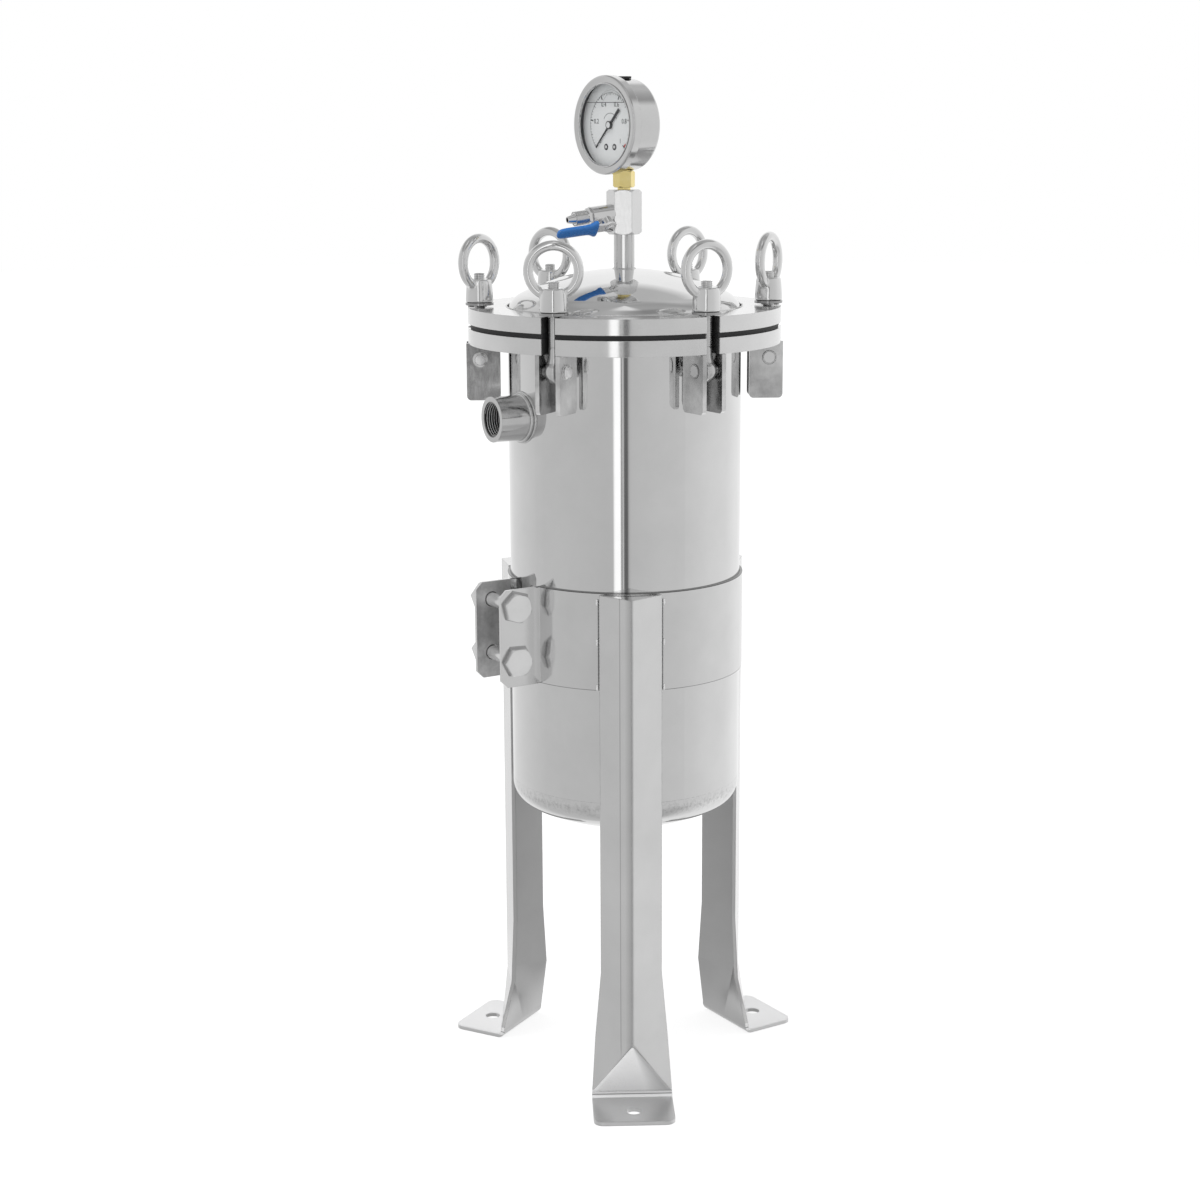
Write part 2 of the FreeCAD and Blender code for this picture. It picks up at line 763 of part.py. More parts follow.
def vessel_shell(node):
    owner = body(node + "_body")
    revolve(owner, node + "_tube", [
        (vessel_inner, shell_low + D["head_skirt"]),
        (D["vessel_radius"], shell_low + D["head_skirt"]),
        (D["vessel_radius"], D["flange_height"]),
        (vessel_inner, D["flange_height"]),
    ])
    port = new_sketch(owner, node + "_port_outline", "XZ_Plane", 0.0)
    circle(port, 0.0, inlet_level, port_hole)
    cut = pocket(owner, node + "_port", port, D["vessel_radius"] + CUT_MARGIN, backwards=True)
    owner.Tip = cut
    owner.Placement = station(INLET_STATION)
    return keep(owner, node)


def bottom_head(node):
    owner = body(node + "_body")
    owner.Tip = revolve(owner, node + "_dish", head_profile(shell_low, -1, D["head_skirt"], port_hole))
    return keep(owner, node)


def slotted_ring(node, inner, outer, low, high):
    """A flat ring with one slot open to the rim at each bolt station."""
    owner = body(node + "_body")
    revolve(owner, node + "_ring", [(inner, low), (outer, low), (outer, high), (inner, high)])
    slot = new_sketch(owner, node + "_slot_outline", "XY_Plane", low)
    half = D["slot_half_width"]
    mouth = -1 * (as_size(outer) + CUT_MARGIN)
    outline(slot, [
        (-1 * half, mouth),
        (half, mouth),
        (half, -1 * bolt_circle),
        (-1 * half, -1 * bolt_circle, as_size(0.0), half - bolt_circle),
    ])
    cut = pocket(owner, node + "_slot", slot, as_size(high) - low, backwards=True)
    turn_copies(owner, node + "_slots", cut, len(BOLT_STATIONS))
    owner.Placement = station(BOLT_STATIONS[0])
    return keep(owner, node)


def seat_ring(node):
    owner = body(node + "_body")
    inner = vessel_inner - D["seat_width"]
    outer = vessel_inner - D["seam_gap"]
    owner.Tip = revolve(owner, node + "_ring", [
        (inner, seat_top - D["seat_wall"]),
        (outer, seat_top - D["seat_wall"]),
        (outer, seat_top),
        (inner, seat_top),
    ])
    return keep(owner, node)


def restrainer_basket(node):
    """A perforated basket with a rim that rests on the seat ring and carries the bag."""
    owner = body(node + "_body")
    rim_radius = vessel_inner - D["basket_clearance"]
    inner = basket_radius - D["basket_wall"]
    bottom = seat_top - D["basket_length"]
    revolve(owner, node + "_shell", [
        (as_size(0.0), bottom),
        (basket_radius, bottom),
        (basket_radius, seat_top),
        (rim_radius, seat_top),
        (rim_radius, rim_top),
        (inner, rim_top),
        (inner, bottom + D["basket_wall"]),
        (as_size(0.0), bottom + D["basket_wall"]),
    ])
    hole = new_sketch(owner, node + "_hole_outline", "XZ_Plane", 0.0)
    for row in range(BASKET_ROWS):
        level = bottom + D["basket_first_row"] + row * D["basket_hole_pitch"]
        circle(hole, 0.0, level, D["basket_hole_radius"])
    cut = pocket(owner, node + "_holes", hole, basket_radius + CUT_MARGIN, backwards=True)
    turn_copies(owner, node + "_columns", cut, BASKET_COLUMNS)
    return keep(owner, node)


def filter_bag(node):
    """A soft closed-bottom sleeve that hangs from its collar inside the basket."""
    owner = body(node + "_body")
    outer = basket_radius - D["basket_wall"] - D["bag_clearance"]
    inner = outer - D["bag_wall"]
    bottom = seat_top - D["basket_length"] + D["basket_wall"] + D["bag_clearance"]
    floor = bottom + D["bag_wall"]
    nose = D["bag_nose_radius"]
    bulge = nose * ARC_BULGE
    inner_bulge = (nose - D["bag_wall"]) * ARC_BULGE
    top = rim_top + D["bag_rise"]
    owner.Tip = revolve(owner, node + "_sleeve", [
        (as_size(0.0), bottom),
        (outer - nose, bottom),
        (outer, bottom + nose, outer - bulge, bottom + bulge),
        (outer, top),
        (inner, top),
        (inner, bottom + nose),
        (outer - nose, floor, inner - inner_bulge, floor + inner_bulge),
        (as_size(0.0), floor),
    ])
    return keep(owner, node)


def bag_collar(node):
    """The stiff collar of the bag, resting on the basket rim."""
    owner = body(node + "_body")
    inner = basket_radius - D["basket_wall"] - D["bag_clearance"] - D["bag_wall"]
    outer = vessel_inner - D["basket_clearance"] - D["collar_gap"]
    low = rim_top + D["bag_rise"]
    owner.Tip = revolve(owner, node + "_ring", [
        (inner, low),
        (outer, low),
        (outer, low + D["collar_edge_height"]),
        (inner + D["collar_slope_start"], low + D["collar_height"]),
        (inner, low + D["collar_height"]),
    ])
    return keep(owner, node)


def threaded_port(node, base, axis, length, placement):
    """A round socket with a plain bore at the inner diameter of its thread."""
    outer = solid_cylinder(node + "_outer", D["port_radius"], length, base, axis)
    bore = solid_cylinder(node + "_bore", D["port_bore_radius"], length, base, axis)
    obj = subtract(node + "_solid", outer, bore)
    obj.Placement = placement
    return keep(obj, node)


def ports():
    inner_end = -1 * (vessel_inner - D["port_lap"])
    length = D["port_length"] + D["vessel_wall"] + D["port_lap"]
    threaded_port("inlet_coupling", (0.0, inner_end, inlet_level), -Y_AXIS, length, station(INLET_STATION))
    outlet_top = vessel_bottom + D["vessel_wall"] + D["port_lap"]
    drop = D["outlet_length"] + D["vessel_wall"] + D["port_lap"]
    threaded_port("outlet_coupling", (0.0, 0.0, outlet_top), -Z_AXIS, drop, station(0.0))


def inlet_pad(node):
    """A round doubling plate that is rolled to the vessel and welded round the inlet."""
    height = D["pad_radius"] * 4
    low = inlet_level - D["pad_radius"] * 2
    reach = D["vessel_radius"] * 2
    outside = solid_cylinder(node + "_outside", D["vessel_radius"] + D["pad_wall"], height, (0, 0, low))
    inside = solid_cylinder(node + "_inside", flange_bore, height, (0, 0, low))
    disc = solid_cylinder(node + "_disc", D["pad_radius"], reach, (0, 0, inlet_level), -Y_AXIS)
    hole = solid_cylinder(node + "_hole", port_hole, reach, (0, 0, inlet_level), -Y_AXIS)
    saddle = subtract(node + "_saddle", outside, inside)
    washer = subtract(node + "_washer", disc, hole)
    plate = overlap(node + "_solid", [saddle, washer])
    plate.Placement = station(INLET_STATION)
    return keep(plate, node)


def lug_plates(node):
    """Twelve plates in pairs under the body flange; each pair holds a clevis pin."""
    plates = []
    inner = -1 * (bolt_circle - D["lug_inner_length"])
    outer = -1 * (bolt_circle + D["lug_outer_length"])
    low = flange_bottom - D["lug_height"]
    corner = D["lug_corner"]
    bulge = corner * ARC_BULGE
    for index, angle in enumerate(BOLT_STATIONS):
        owner = body(f"lug_plate_body_{index}")
        owner.AllowCompound = True
        far_face = -1 * (D["lug_half_gap"] + D["lug_wall"])
        for side, offset in (("near", D["lug_half_gap"]), ("far", far_face)):
            sketch = new_sketch(owner, f"lug_{side}_outline_{index}", "YZ_Plane", offset)
            outline(sketch, [
                (inner, flange_bottom),
                (inner, low + corner),
                (inner - corner, low, inner - bulge, low + bulge),
                (outer + corner, low),
                (outer, low + corner, outer + bulge, low + bulge),
                (outer, flange_bottom),
            ])
            circle(sketch, -1 * bolt_circle, pivot_level, D["pin_radius"] + D["seam_gap"])
            owner.Tip = pad(owner, f"lug_{side}_{index}", sketch, D["lug_wall"])
        owner.Placement = station(angle)
        plates.append(owner)
    return keep(join(node + "_solid", plates), node)


def clevis_pins(node):
    """A pin through each pair of plates, with a low round head on one side and a flush end on the other."""
    pins = []
    reach = -1 * bolt_circle
    lug_face = D["lug_half_gap"] + D["lug_wall"]
    for index, angle in enumerate(BOLT_STATIONS):
        start = -1 * (lug_face + D["pin_end_length"])
        shank = solid_cylinder(f"pin_shank_{index}", D["pin_radius"], lug_face * 2 + D["pin_end_length"],
                               (start, reach, pivot_level), X_AXIS)
        head = solid_cylinder(f"pin_head_{index}", D["pin_head_radius"], D["pin_head_wall"],
                              (lug_face, reach, pivot_level), X_AXIS)
        crown = solid_cone(f"pin_crown_{index}", D["pin_head_radius"], D["pin_crown_radius"],
                           D["pin_crown_wall"], (lug_face + D["pin_head_wall"], reach, pivot_level), X_AXIS)
        pin = join(f"pin_{index}", [shank, head, crown])
        pin.Placement = station(angle)
        pins.append(pin)
    return keep(join(node + "_solid", pins), node)


def swing_bolt(index, angle):
    """A threaded rod with an eye that turns on the clevis pin."""
    reach = -1 * bolt_circle
    half_width = D["lug_half_gap"] - D["eye_gap"]
    eye = solid_cylinder(f"bolt_eye_{index}", D["eye_radius"], half_width * 2,
                         (-1 * half_width, reach, pivot_level), X_AXIS)
    rod = solid_cylinder(f"bolt_rod_{index}", D["rod_radius"], D["rod_length"], (0, reach, pivot_level))
    whole = join(f"bolt_whole_{index}", [eye, rod])
    bore = solid_cylinder(f"bolt_bore_{index}", D["pin_radius"] + D["pin_gap"], half_width * 4,
                          (-2 * half_width, reach, pivot_level), X_AXIS)
    bolt = subtract(f"swing_bolt_solid_{index}", whole, bore)
    bolt.Placement = station(angle)
    return keep(bolt, f"swing_bolt_{index}")


def bolt_washer(index, angle):
    reach = -1 * bolt_circle
    base = (0, reach, washer_bottom)
    disc = solid_cylinder(f"washer_disc_{index}", D["washer_radius"], D["washer_wall"], base)
    bore_radius = D["rod_radius"] + D["washer_bore_gap"]
    bore = solid_cylinder(f"washer_bore_{index}", bore_radius, D["washer_wall"], base)
    washer = subtract(f"bolt_washer_solid_{index}", disc, bore)
    washer.Placement = station(angle)
    return keep(washer, f"bolt_washer_{index}")


def eye_nut(index, angle):
    """A tapered nut with a lifting ring fused across its top, bored for the rod."""
    barrel = solid_cone(f"nut_barrel_{index}", D["nut_low_radius"], D["nut_high_radius"], D["nut_height"],
                        (0, 0, nut_bottom))
    ring = doc.addObject("Part::Torus", f"nut_ring_{index}")
    ring.setExpression("Radius1", D["ring_radius"].text)
    ring.setExpression("Radius2", D["ring_wire_radius"].text)
    ring.Placement = FreeCAD.Placement(FreeCAD.Vector(0, 0, 0), FreeCAD.Rotation(Z_AXIS, Y_AXIS))
    bind_base(ring, 0, 0, ring_level)
    whole = join(f"nut_whole_{index}", [barrel, ring])
    bore = solid_cylinder(f"nut_bore_{index}", D["rod_radius"] + D["thread_gap"],
                          D["nut_height"] + 2 * CUT_MARGIN, (0, 0, nut_bottom - CUT_MARGIN))
    nut = subtract(f"eye_nut_solid_{index}", whole, bore)
    turn = FreeCAD.Rotation(Z_AXIS, RING_TURNS[index - 1])
    nut.Placement = FreeCAD.Placement(FreeCAD.Vector(0, 0, 0), turn)
    east = math.sin(math.radians(angle))
    north = -math.cos(math.radians(angle))
    bind_base(nut, bolt_circle * east, bolt_circle * north, 0)
    return keep(nut, f"eye_nut_{index}")


def lid_dome(node):
    owner = body(node + "_body")
    hole = D["riser_radius"] + D["seam_gap"]
    owner.Tip = revolve(owner, node + "_dish", head_profile(dome_tangent, 1, D["dome_skirt"], hole))
    return keep(owner, node)


def riser_pipe(node):
    length = D["riser_length"]
    outer = solid_cylinder(node + "_outer", D["riser_radius"], length, (0, 0, riser_bottom))
    bore = solid_cylinder(node + "_bore", D["riser_bore_radius"], length, (0, 0, riser_bottom))
    return keep(subtract(node + "_solid", outer, bore), node)


def cut_hexagon(name, across_flats, length, level, corner_cut, turn):
    """A hexagonal bar with its corners turned off at both ends."""
    bar = solid_prism(name + "_bar", across_flats, length, (0, 0, level), Z_AXIS, turn)
    end_radius = as_size(across_flats) / math.sqrt(3.0) - corner_cut
    wide_radius = end_radius + length
    low = solid_cone(name + "_low_turn", end_radius, wide_radius, length, (0, 0, level))
    high = solid_cone(name + "_high_turn", wide_radius, end_radius, length, (0, 0, level))
    return overlap(name + "_turned", [bar, low, high])


def hex_body(node):
    bar = cut_hexagon(node, D["hex_flats"], D["hex_height"], hex_bottom, D["hex_corner_cut"], VALVE_STATION)
    bore = solid_cylinder(node + "_bore", D["hex_bore_radius"], D["hex_height"], (0, 0, hex_bottom))
    side = solid_cylinder(node + "_side_bore", D["valve_bore_radius"], D["hex_flats"])
    along = valve_frame().Rotation.multiply(FreeCAD.Rotation(Z_AXIS, -Y_AXIS))
    side.Placement = FreeCAD.Placement(FreeCAD.Vector(0, 0, valve_level.value), along)
    bind_base(side, 0, 0, valve_level)
    return keep(subtract(node + "_solid", bar, join(node + "_bores", [bore, side])), node)


def gauge_stem_nut(node):
    """The brass socket of the gauge: a neck, a hexagon and a neck into the case."""
    low = solid_cylinder(node + "_low_neck", D["brass_neck_radius"], D["brass_neck"], (0, 0, hex_top))
    level = hex_top + D["brass_neck"]
    nut = cut_hexagon(node, D["brass_flats"], D["brass_height"], level,
                      D["brass_corner_cut"], GAUGE_STATION)
    high = solid_cylinder(node + "_high_neck", D["brass_neck_radius"], D["socket_depth"], (0, 0, brass_top))
    return keep(join(node + "_solid", [low, nut, high]), node)


def gauge_frame():
    """The gauge's own frame: its Z axis points out of the dial and its Y axis up."""
    facing = FreeCAD.Rotation(X_AXIS, 90.0)
    turn = FreeCAD.Rotation(Z_AXIS, GAUGE_STATION)
    return turn.multiply(facing)


def set_gauge_frame(obj):
    obj.Placement = FreeCAD.Placement(FreeCAD.Vector(0, 0, 0), gauge_frame())
    obj.setExpression("Placement.Base.z", gauge_level.text)
    return obj


def gauge_revolve(node, points):
    owner = body(node + "_body")
    owner.Tip = revolve(owner, node + "_turned", points)
    return set_gauge_frame(owner)


def gauge_case(node):
    outer = D["case_radius"]
    wall = D["case_wall"]
    round_off = D["case_edge_round"]
    bulge = round_off * ARC_BULGE
    back = -1 * D["case_back_depth"]
    inner_bulge = (round_off - wall) * ARC_BULGE
    floor = back + wall
    cup = gauge_revolve(node, [
        (as_size(0.0), back),
        (outer - round_off, back),
        (outer, back + round_off, outer - bulge, back + bulge),
        (outer, D["case_front_height"]),
        (outer - wall, D["case_front_height"]),
        (outer - wall, back + round_off),
        (outer - round_off, floor, outer - wall - inner_bulge, floor + inner_bulge),
        (as_size(0.0), floor),
    ])
    stem_hole = solid_cylinder(node + "_stem_hole", D["brass_neck_radius"] + D["seam_gap"],
                               D["socket_depth"] * 2, (0, 0, brass_top - D["socket_depth"]))
    plug_hole = solid_cylinder(node + "_plug_hole", D["plug_neck"] + D["seam_gap"], CUT_MARGIN * 2,
                               (0, 0, gauge_level + D["case_radius"] - CUT_MARGIN))
    return keep(subtract(node + "_solid", cup, join(node + "_holes", [stem_hole, plug_hole])), node)


def gauge_bezel(node):
    lip = D["case_front_height"] + D["glass_wall"] + D["gauge_gap"]
    front = lip + D["bezel_lip"]
    skirt = D["case_radius"] + D["gauge_gap"]
    round_off = D["bezel_round"]
    bulge = round_off * ARC_BULGE
    outer = D["bezel_radius"]
    return keep(gauge_revolve(node, [
        (skirt, D["bezel_skirt_height"]),
        (outer, D["bezel_skirt_height"]),
        (outer, front - round_off),
        (outer - round_off, front, outer - bulge, front - bulge),
        (D["bezel_opening"], front - D["bezel_slope"]),
        (D["bezel_opening"], lip),
        (skirt, lip),
    ]), node)


def gauge_glass(node):
    front = D["case_front_height"] + D["glass_wall"]
    edge = D["case_radius"] - D["gauge_gap"]
    zero = as_size(0.0)
    return keep(gauge_revolve(node, [
        (zero, D["case_front_height"]),
        (edge, D["case_front_height"]),
        (edge, front),
        (zero, front),
    ]), node)


def gauge_dial(node):
    front = D["dial_height"] + D["dial_wall"]
    hole = D["spindle_radius"] + D["gauge_gap"]
    edge = D["case_radius"] - D["case_wall"] - D["gauge_gap"]
    return keep(gauge_revolve(node, [
        (hole, D["dial_height"]),
        (edge, D["dial_height"]),
        (edge, front),
        (hole, front),
    ]), node)


def gauge_movement(node):
    """The plain block behind the dial that stands on the case back and bears the spindle."""
    low = D["case_wall"] - D["case_back_depth"]
    bearing = D["spindle_radius"] + D["gauge_gap"]
    floor = D["dial_height"] - D["movement_wall"]
    zero = as_size(0.0)
    return keep(gauge_revolve(node, [
        (zero, low),
        (D["movement_radius"], low),
        (D["movement_radius"], D["dial_height"]),
        (bearing, D["dial_height"]),
        (bearing, floor),
        (zero, floor),
    ]), node)


def gauge_pointer(node):
    """Needle, counterweight tail, hub and spindle; at rest the needle points to zero."""
    face = D["dial_height"] + D["dial_wall"]
    owner = body(node + "_body")
    sketch = new_sketch(owner, node + "_outline", "XY_Plane", face + D["pointer_rise"])
    middle = D["pointer_half_width"]
    tip = D["pointer_tip_half_width"]
    tail = D["tail_half_width"]
    outline(sketch, [
        (tip, D["pointer_length"]),
        (-1 * tip, D["pointer_length"]),
        (-1 * middle, as_size(0.0)),
        (-1 * tail, -1 * D["pointer_tail_length"]),
        (tail, -1 * D["pointer_tail_length"]),
        (middle, as_size(0.0)),
    ])
    pad(owner, node + "_needle", sketch, D["pointer_wall"])
    hub_level = face + D["pointer_rise"] - D["pointer_hub_drop"]
    hub = new_sketch(owner, node + "_hub_outline", "XY_Plane", hub_level)
    circle(hub, 0.0, 0.0, D["pointer_hub_radius"])
    pad(owner, node + "_hub", hub, D["pointer_hub_wall"])
    spindle_foot = D["dial_height"] - D["spindle_depth"]
    spindle = new_sketch(owner, node + "_spindle_outline", "XY_Plane", spindle_foot)
    circle(spindle, 0.0, 0.0, D["spindle_radius"])
    length = D["spindle_depth"] + D["dial_wall"] + D["pointer_rise"]
    owner.Tip = pad(owner, node + "_spindle", spindle, length)
    turn = gauge_frame().multiply(FreeCAD.Rotation(Z_AXIS, POINTER_ZERO))
    owner.Placement = FreeCAD.Placement(FreeCAD.Vector(0, 0, 0), turn)
    owner.setExpression("Placement.Base.z", gauge_level.text)
    return keep(owner, node)


def gauge_fill_plug(node):
    """The rubber plug on top of the case: a neck through the wall and a flat head."""
    top = gauge_level + D["case_radius"] + D["seam_gap"]
    depth = D["case_wall"] * 2
    neck = solid_cylinder(node + "_neck", D["plug_neck"], depth + D["plug_rise"], (0, 0, top - depth))
    head = solid_cylinder(node + "_head", D["plug_radius"], D["plug_rise"], (0, 0, top))
    return keep(join(node + "_solid", [neck, head]), node)


def valve_frame():
    """The valve's own frame: -Y runs out along the valve and +X out along the lever stem."""
    turn = FreeCAD.Rotation(Z_AXIS, VALVE_STATION)
    tilt = FreeCAD.Rotation(X_AXIS, D["valve_tilt"].value)
    roll = FreeCAD.Rotation(Y_AXIS, STEM_ROLL)
    placement = turn.multiply(tilt).multiply(roll)
    return FreeCAD.Placement(FreeCAD.Vector(0, 0, valve_level.value), placement)


def set_valve_frame(obj):
    obj.Placement = valve_frame()
    obj.setExpression("Placement.Base.z", valve_level.text)
    return obj


def valve_body(node):
    """A turned block from the hexagon to the nipple with a boss round the stem."""
    start = D["hex_flats"] * 0.5
    stem_y = -1 * D["stem_reach"]
    block = solid_cylinder(node + "_block", D["valve_radius"], D["valve_length"] + D["valve_root"],
                           (0, D["valve_root"] - start, 0), -Y_AXIS)
    boss = solid_cylinder(node + "_boss", D["stem_boss_radius"], D["stem_boss_height"],
                          (0, stem_y, 0), X_AXIS)
    whole = join(node + "_whole", [block, boss])
    bore = solid_cylinder(node + "_bore", D["valve_bore_radius"], D["valve_length"] * 2, (0, 0, 0), -Y_AXIS)
    seat = doc.addObject("Part::Sphere", node + "_seat")
    seat.setExpression("Radius", (D["ball_radius"] + D["ball_gap"]).text)
    bind_base(seat, 0, stem_y, 0)
    stem_bore = solid_cylinder(node + "_stem_bore", D["stem_radius"] + D["ball_gap"],
                               D["stem_boss_height"] * 2, (0, stem_y, 0), X_AXIS)
    hollow = join(node + "_hollow", [bore, seat, stem_bore])
    solid = set_valve_frame(subtract(node + "_hollowed", whole, hollow))
    seat_face = solid_prism(node + "_seat_face", D["hex_flats"] + D["seam_gap"], D["hex_height"],
                            (0, 0, hex_bottom), Z_AXIS, VALVE_STATION)
    return keep(subtract(node + "_solid", solid, seat_face), node)


def valve_ball(node):
    ball = doc.addObject("Part::Sphere", node + "_sphere")
    ball.setExpression("Radius", D["ball_radius"].text)
    bind_base(ball, 0, -1 * D["stem_reach"], 0)
    bore = solid_cylinder(node + "_bore", D["valve_bore_radius"], D["stem_reach"] * 2, (0, 0, 0), -Y_AXIS)
    slot = solid_cylinder(node + "_stem_slot", D["stem_radius"], D["ball_radius"] * 2,
                          (D["ball_radius"] - D["stem_sink"], -1 * D["stem_reach"], 0), X_AXIS)
    return keep(set_valve_frame(subtract(node + "_solid", ball, join(node + "_cuts", [bore, slot]))), node)


def lever_levels():
    low = D["stem_boss_height"] + D["lever_gap"]
    return low, low + D["lever_wall"]


def valve_stem(node):
    start = D["ball_radius"] - D["stem_sink"]
    top = lever_levels()[1]
    owner = body(node + "_body")
    sketch = new_sketch(owner, node + "_outline", "YZ_Plane", start)
    circle(sketch, -1 * D["stem_reach"], 0.0, D["stem_radius"])
    owner.Tip = pad(owner, node + "_rod", sketch, top - start)
    return keep(set_valve_frame(owner), node)


def lever_strip(name):
    low = lever_levels()[0]
    owner = body(name + "_body")
    hub = D["lever_hub"]
    half = D["lever_half_width"]
    centre = -1 * D["stem_reach"]
    neck = root(hub * hub - half * half)
    sketch = new_sketch(owner, name + "_outline", "YZ_Plane", low)
    outline(sketch, [
        (centre - neck, half, centre + hub, as_size(0.0)),
        (centre - D["lever_length"], half),
        (centre - D["lever_length"], -1 * half),
        (centre - neck, -1 * half),
    ])
    circle(sketch, centre, 0.0, D["stem_radius"] + D["seam_gap"])
    owner.Tip = pad(owner, name + "_strip", sketch, D["lever_wall"])
    return owner


def valve_lever(node):
    return keep(set_valve_frame(lever_strip(node)), node)


def lever_grip(node):
    """A soft sleeve over the lever, flared towards the stem and round at its end."""
    low = lever_levels()[0]
    skin = D["grip_skin"]
    owner = body(node + "_body")
    half = D["lever_half_width"] + skin
    flare = half + D["grip_flare"]
    centre = -1 * D["stem_reach"]
    start = centre - D["grip_start_length"]
    end = centre - D["lever_length"] - D["grip_end_wall"]
    corner = D["grip_corner"]
    bulge = corner * ARC_BULGE
    sketch = new_sketch(owner, node + "_outline", "YZ_Plane", low - skin)
    outline(sketch, [
        (start, -1 * flare),
        (start, flare),
        (start - D["grip_flare_edge"], flare),
        (start - D["grip_flare_length"], half),
        (end + corner, half),
        (end, half - corner, end + bulge, half - bulge),
        (end, corner - half),
        (end + corner, -1 * half, end + bulge, bulge - half),
        (start - D["grip_flare_length"], -1 * half),
        (start - D["grip_flare_edge"], -1 * flare),
    ])
    owner.Tip = pad(owner, node + "_sleeve", sketch, D["lever_wall"] + skin * 2)
    return keep(set_valve_frame(subtract(node + "_solid", owner, lever_strip(node + "_core"))), node)


def lever_screw(node):
    top = lever_levels()[1]
    owner = body(node + "_body")
    head = new_sketch(owner, node + "_outline", "YZ_Plane", top)
    circle(head, -1 * D["stem_reach"], 0.0, D["screw_radius"])
    pad(owner, node + "_head", head, D["screw_height"])
    slot = new_sketch(owner, node + "_slot_outline", "YZ_Plane", top + D["screw_height"])
    half = D["screw_slot_half_width"]
    near = -1 * D["stem_reach"] + D["screw_radius"] + CUT_MARGIN
    far = -1 * D["stem_reach"] - D["screw_radius"] - CUT_MARGIN
    outline(slot, [(far, -1 * half), (near, -1 * half), (near, half), (far, half)])
    owner.Tip = pocket(owner, node + "_slot", slot, D["screw_slot_depth"])
    return keep(set_valve_frame(owner), node)


def vent_nipple(node):
    """The hexagon, thread and tapered nose at the outlet of the vent valve."""
    start = D["hex_flats"] * 0.5 + D["valve_length"]
    hexagon = solid_prism(node + "_hexagon", D["nipple_flats"], D["nipple_hex_length"],
                          (0, -1 * start, 0), -Y_AXIS, NIPPLE_TURN)
    thread_start = start + D["nipple_hex_length"]
    thread = solid_cylinder(node + "_thread", D["nipple_thread_radius"], D["nipple_thread_length"],
                            (0, -1 * thread_start, 0), -Y_AXIS)
    nose_start = thread_start + D["nipple_thread_length"]
    nose = solid_cone(node + "_nose", D["nipple_nose_root_radius"], D["nipple_nose_tip_radius"],
                      D["nipple_nose_length"], (0, -1 * nose_start, 0), -Y_AXIS)
    whole = join(node + "_whole", [hexagon, thread, nose])
    length = D["nipple_hex_length"] + D["nipple_thread_length"] + D["nipple_nose_length"]
    bore = solid_cylinder(node + "_bore", D["valve_bore_radius"], length, (0, -1 * start, 0), -Y_AXIS)
    return keep(set_valve_frame(subtract(node + "_solid", whole, bore)), node)


def build_stand():
    leg("leg_front", FRONT_LEG_STATION)
    leg("leg_rear_left", -REAR_LEG_STATION)
    leg("leg_rear_right", REAR_LEG_STATION)
    clamp_band("clamp_band")
    clamp_fasteners()


def build_vessel():
    vessel_shell("vessel_shell")
    bottom_head("bottom_head")
    slotted_ring("body_flange", flange_bore, flange_radius, flange_bottom, D["flange_height"])
    slotted_ring("flange_gasket", gasket_bore, gasket_radius, D["flange_height"], lid_bottom)
    seat_ring("bag_seat_ring")
    restrainer_basket("restrainer_basket")
    filter_bag("filter_bag")
    bag_collar("bag_collar")
    ports()
    inlet_pad("inlet_pad")
    lug_plates("lug_plates")
    clevis_pins("clevis_pins")


def build_closure():
    for index, angle in enumerate(BOLT_STATIONS, start=1):
        swing_bolt(index, angle)
        bolt_washer(index, angle)
        eye_nut(index, angle)


def build_lid():
    slotted_ring("lid_flange", flange_bore, flange_radius, lid_bottom, lid_top)
    lid_dome("lid_dome")
    riser_pipe("riser_pipe")
    hex_body("hex_body")
    gauge_stem_nut("gauge_stem_nut")
    gauge_case("gauge_case")
    gauge_bezel("gauge_bezel")
    gauge_glass("gauge_glass")
    gauge_dial("gauge_dial")
    gauge_movement("gauge_movement")
    gauge_pointer("gauge_pointer")
    gauge_fill_plug("gauge_fill_plug")
    valve_body("valve_body")
    valve_ball("valve_ball")
    valve_stem("valve_stem")
    valve_lever("valve_lever")
    lever_grip("lever_grip")
    lever_screw("lever_screw")
    vent_nipple("vent_nipple")


def check_document():
    faults = []
    for obj in doc.Objects:
        if "Invalid" in obj.State or "Error" in obj.State:
            faults.append(f"{obj.Name} is {obj.State}")
    for obj in node_objects:
        if obj.Shape.isNull() or not obj.Shape.isValid():
            faults.append(f"{obj.Label} has a bad shape")
    if faults:
        raise RuntimeError("; ".join(faults))


def main():
    build_stand()
    build_vessel()
    build_closure()
    build_lid()
    doc.recompute()
    check_document()
    os.makedirs("parts", exist_ok=True)
    for obj in node_objects:
        obj.Shape.exportStep(f"parts/{obj.Label}.step")
        print(f"{obj.Label}: {len(obj.Shape.Solids)} solids, {obj.Shape.Volume:.1f} cubic mm")


main()
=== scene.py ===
import random
from math import copysign, cos, pi, radians, sin, sqrt

import bpy
from mathutils import Matrix, Vector


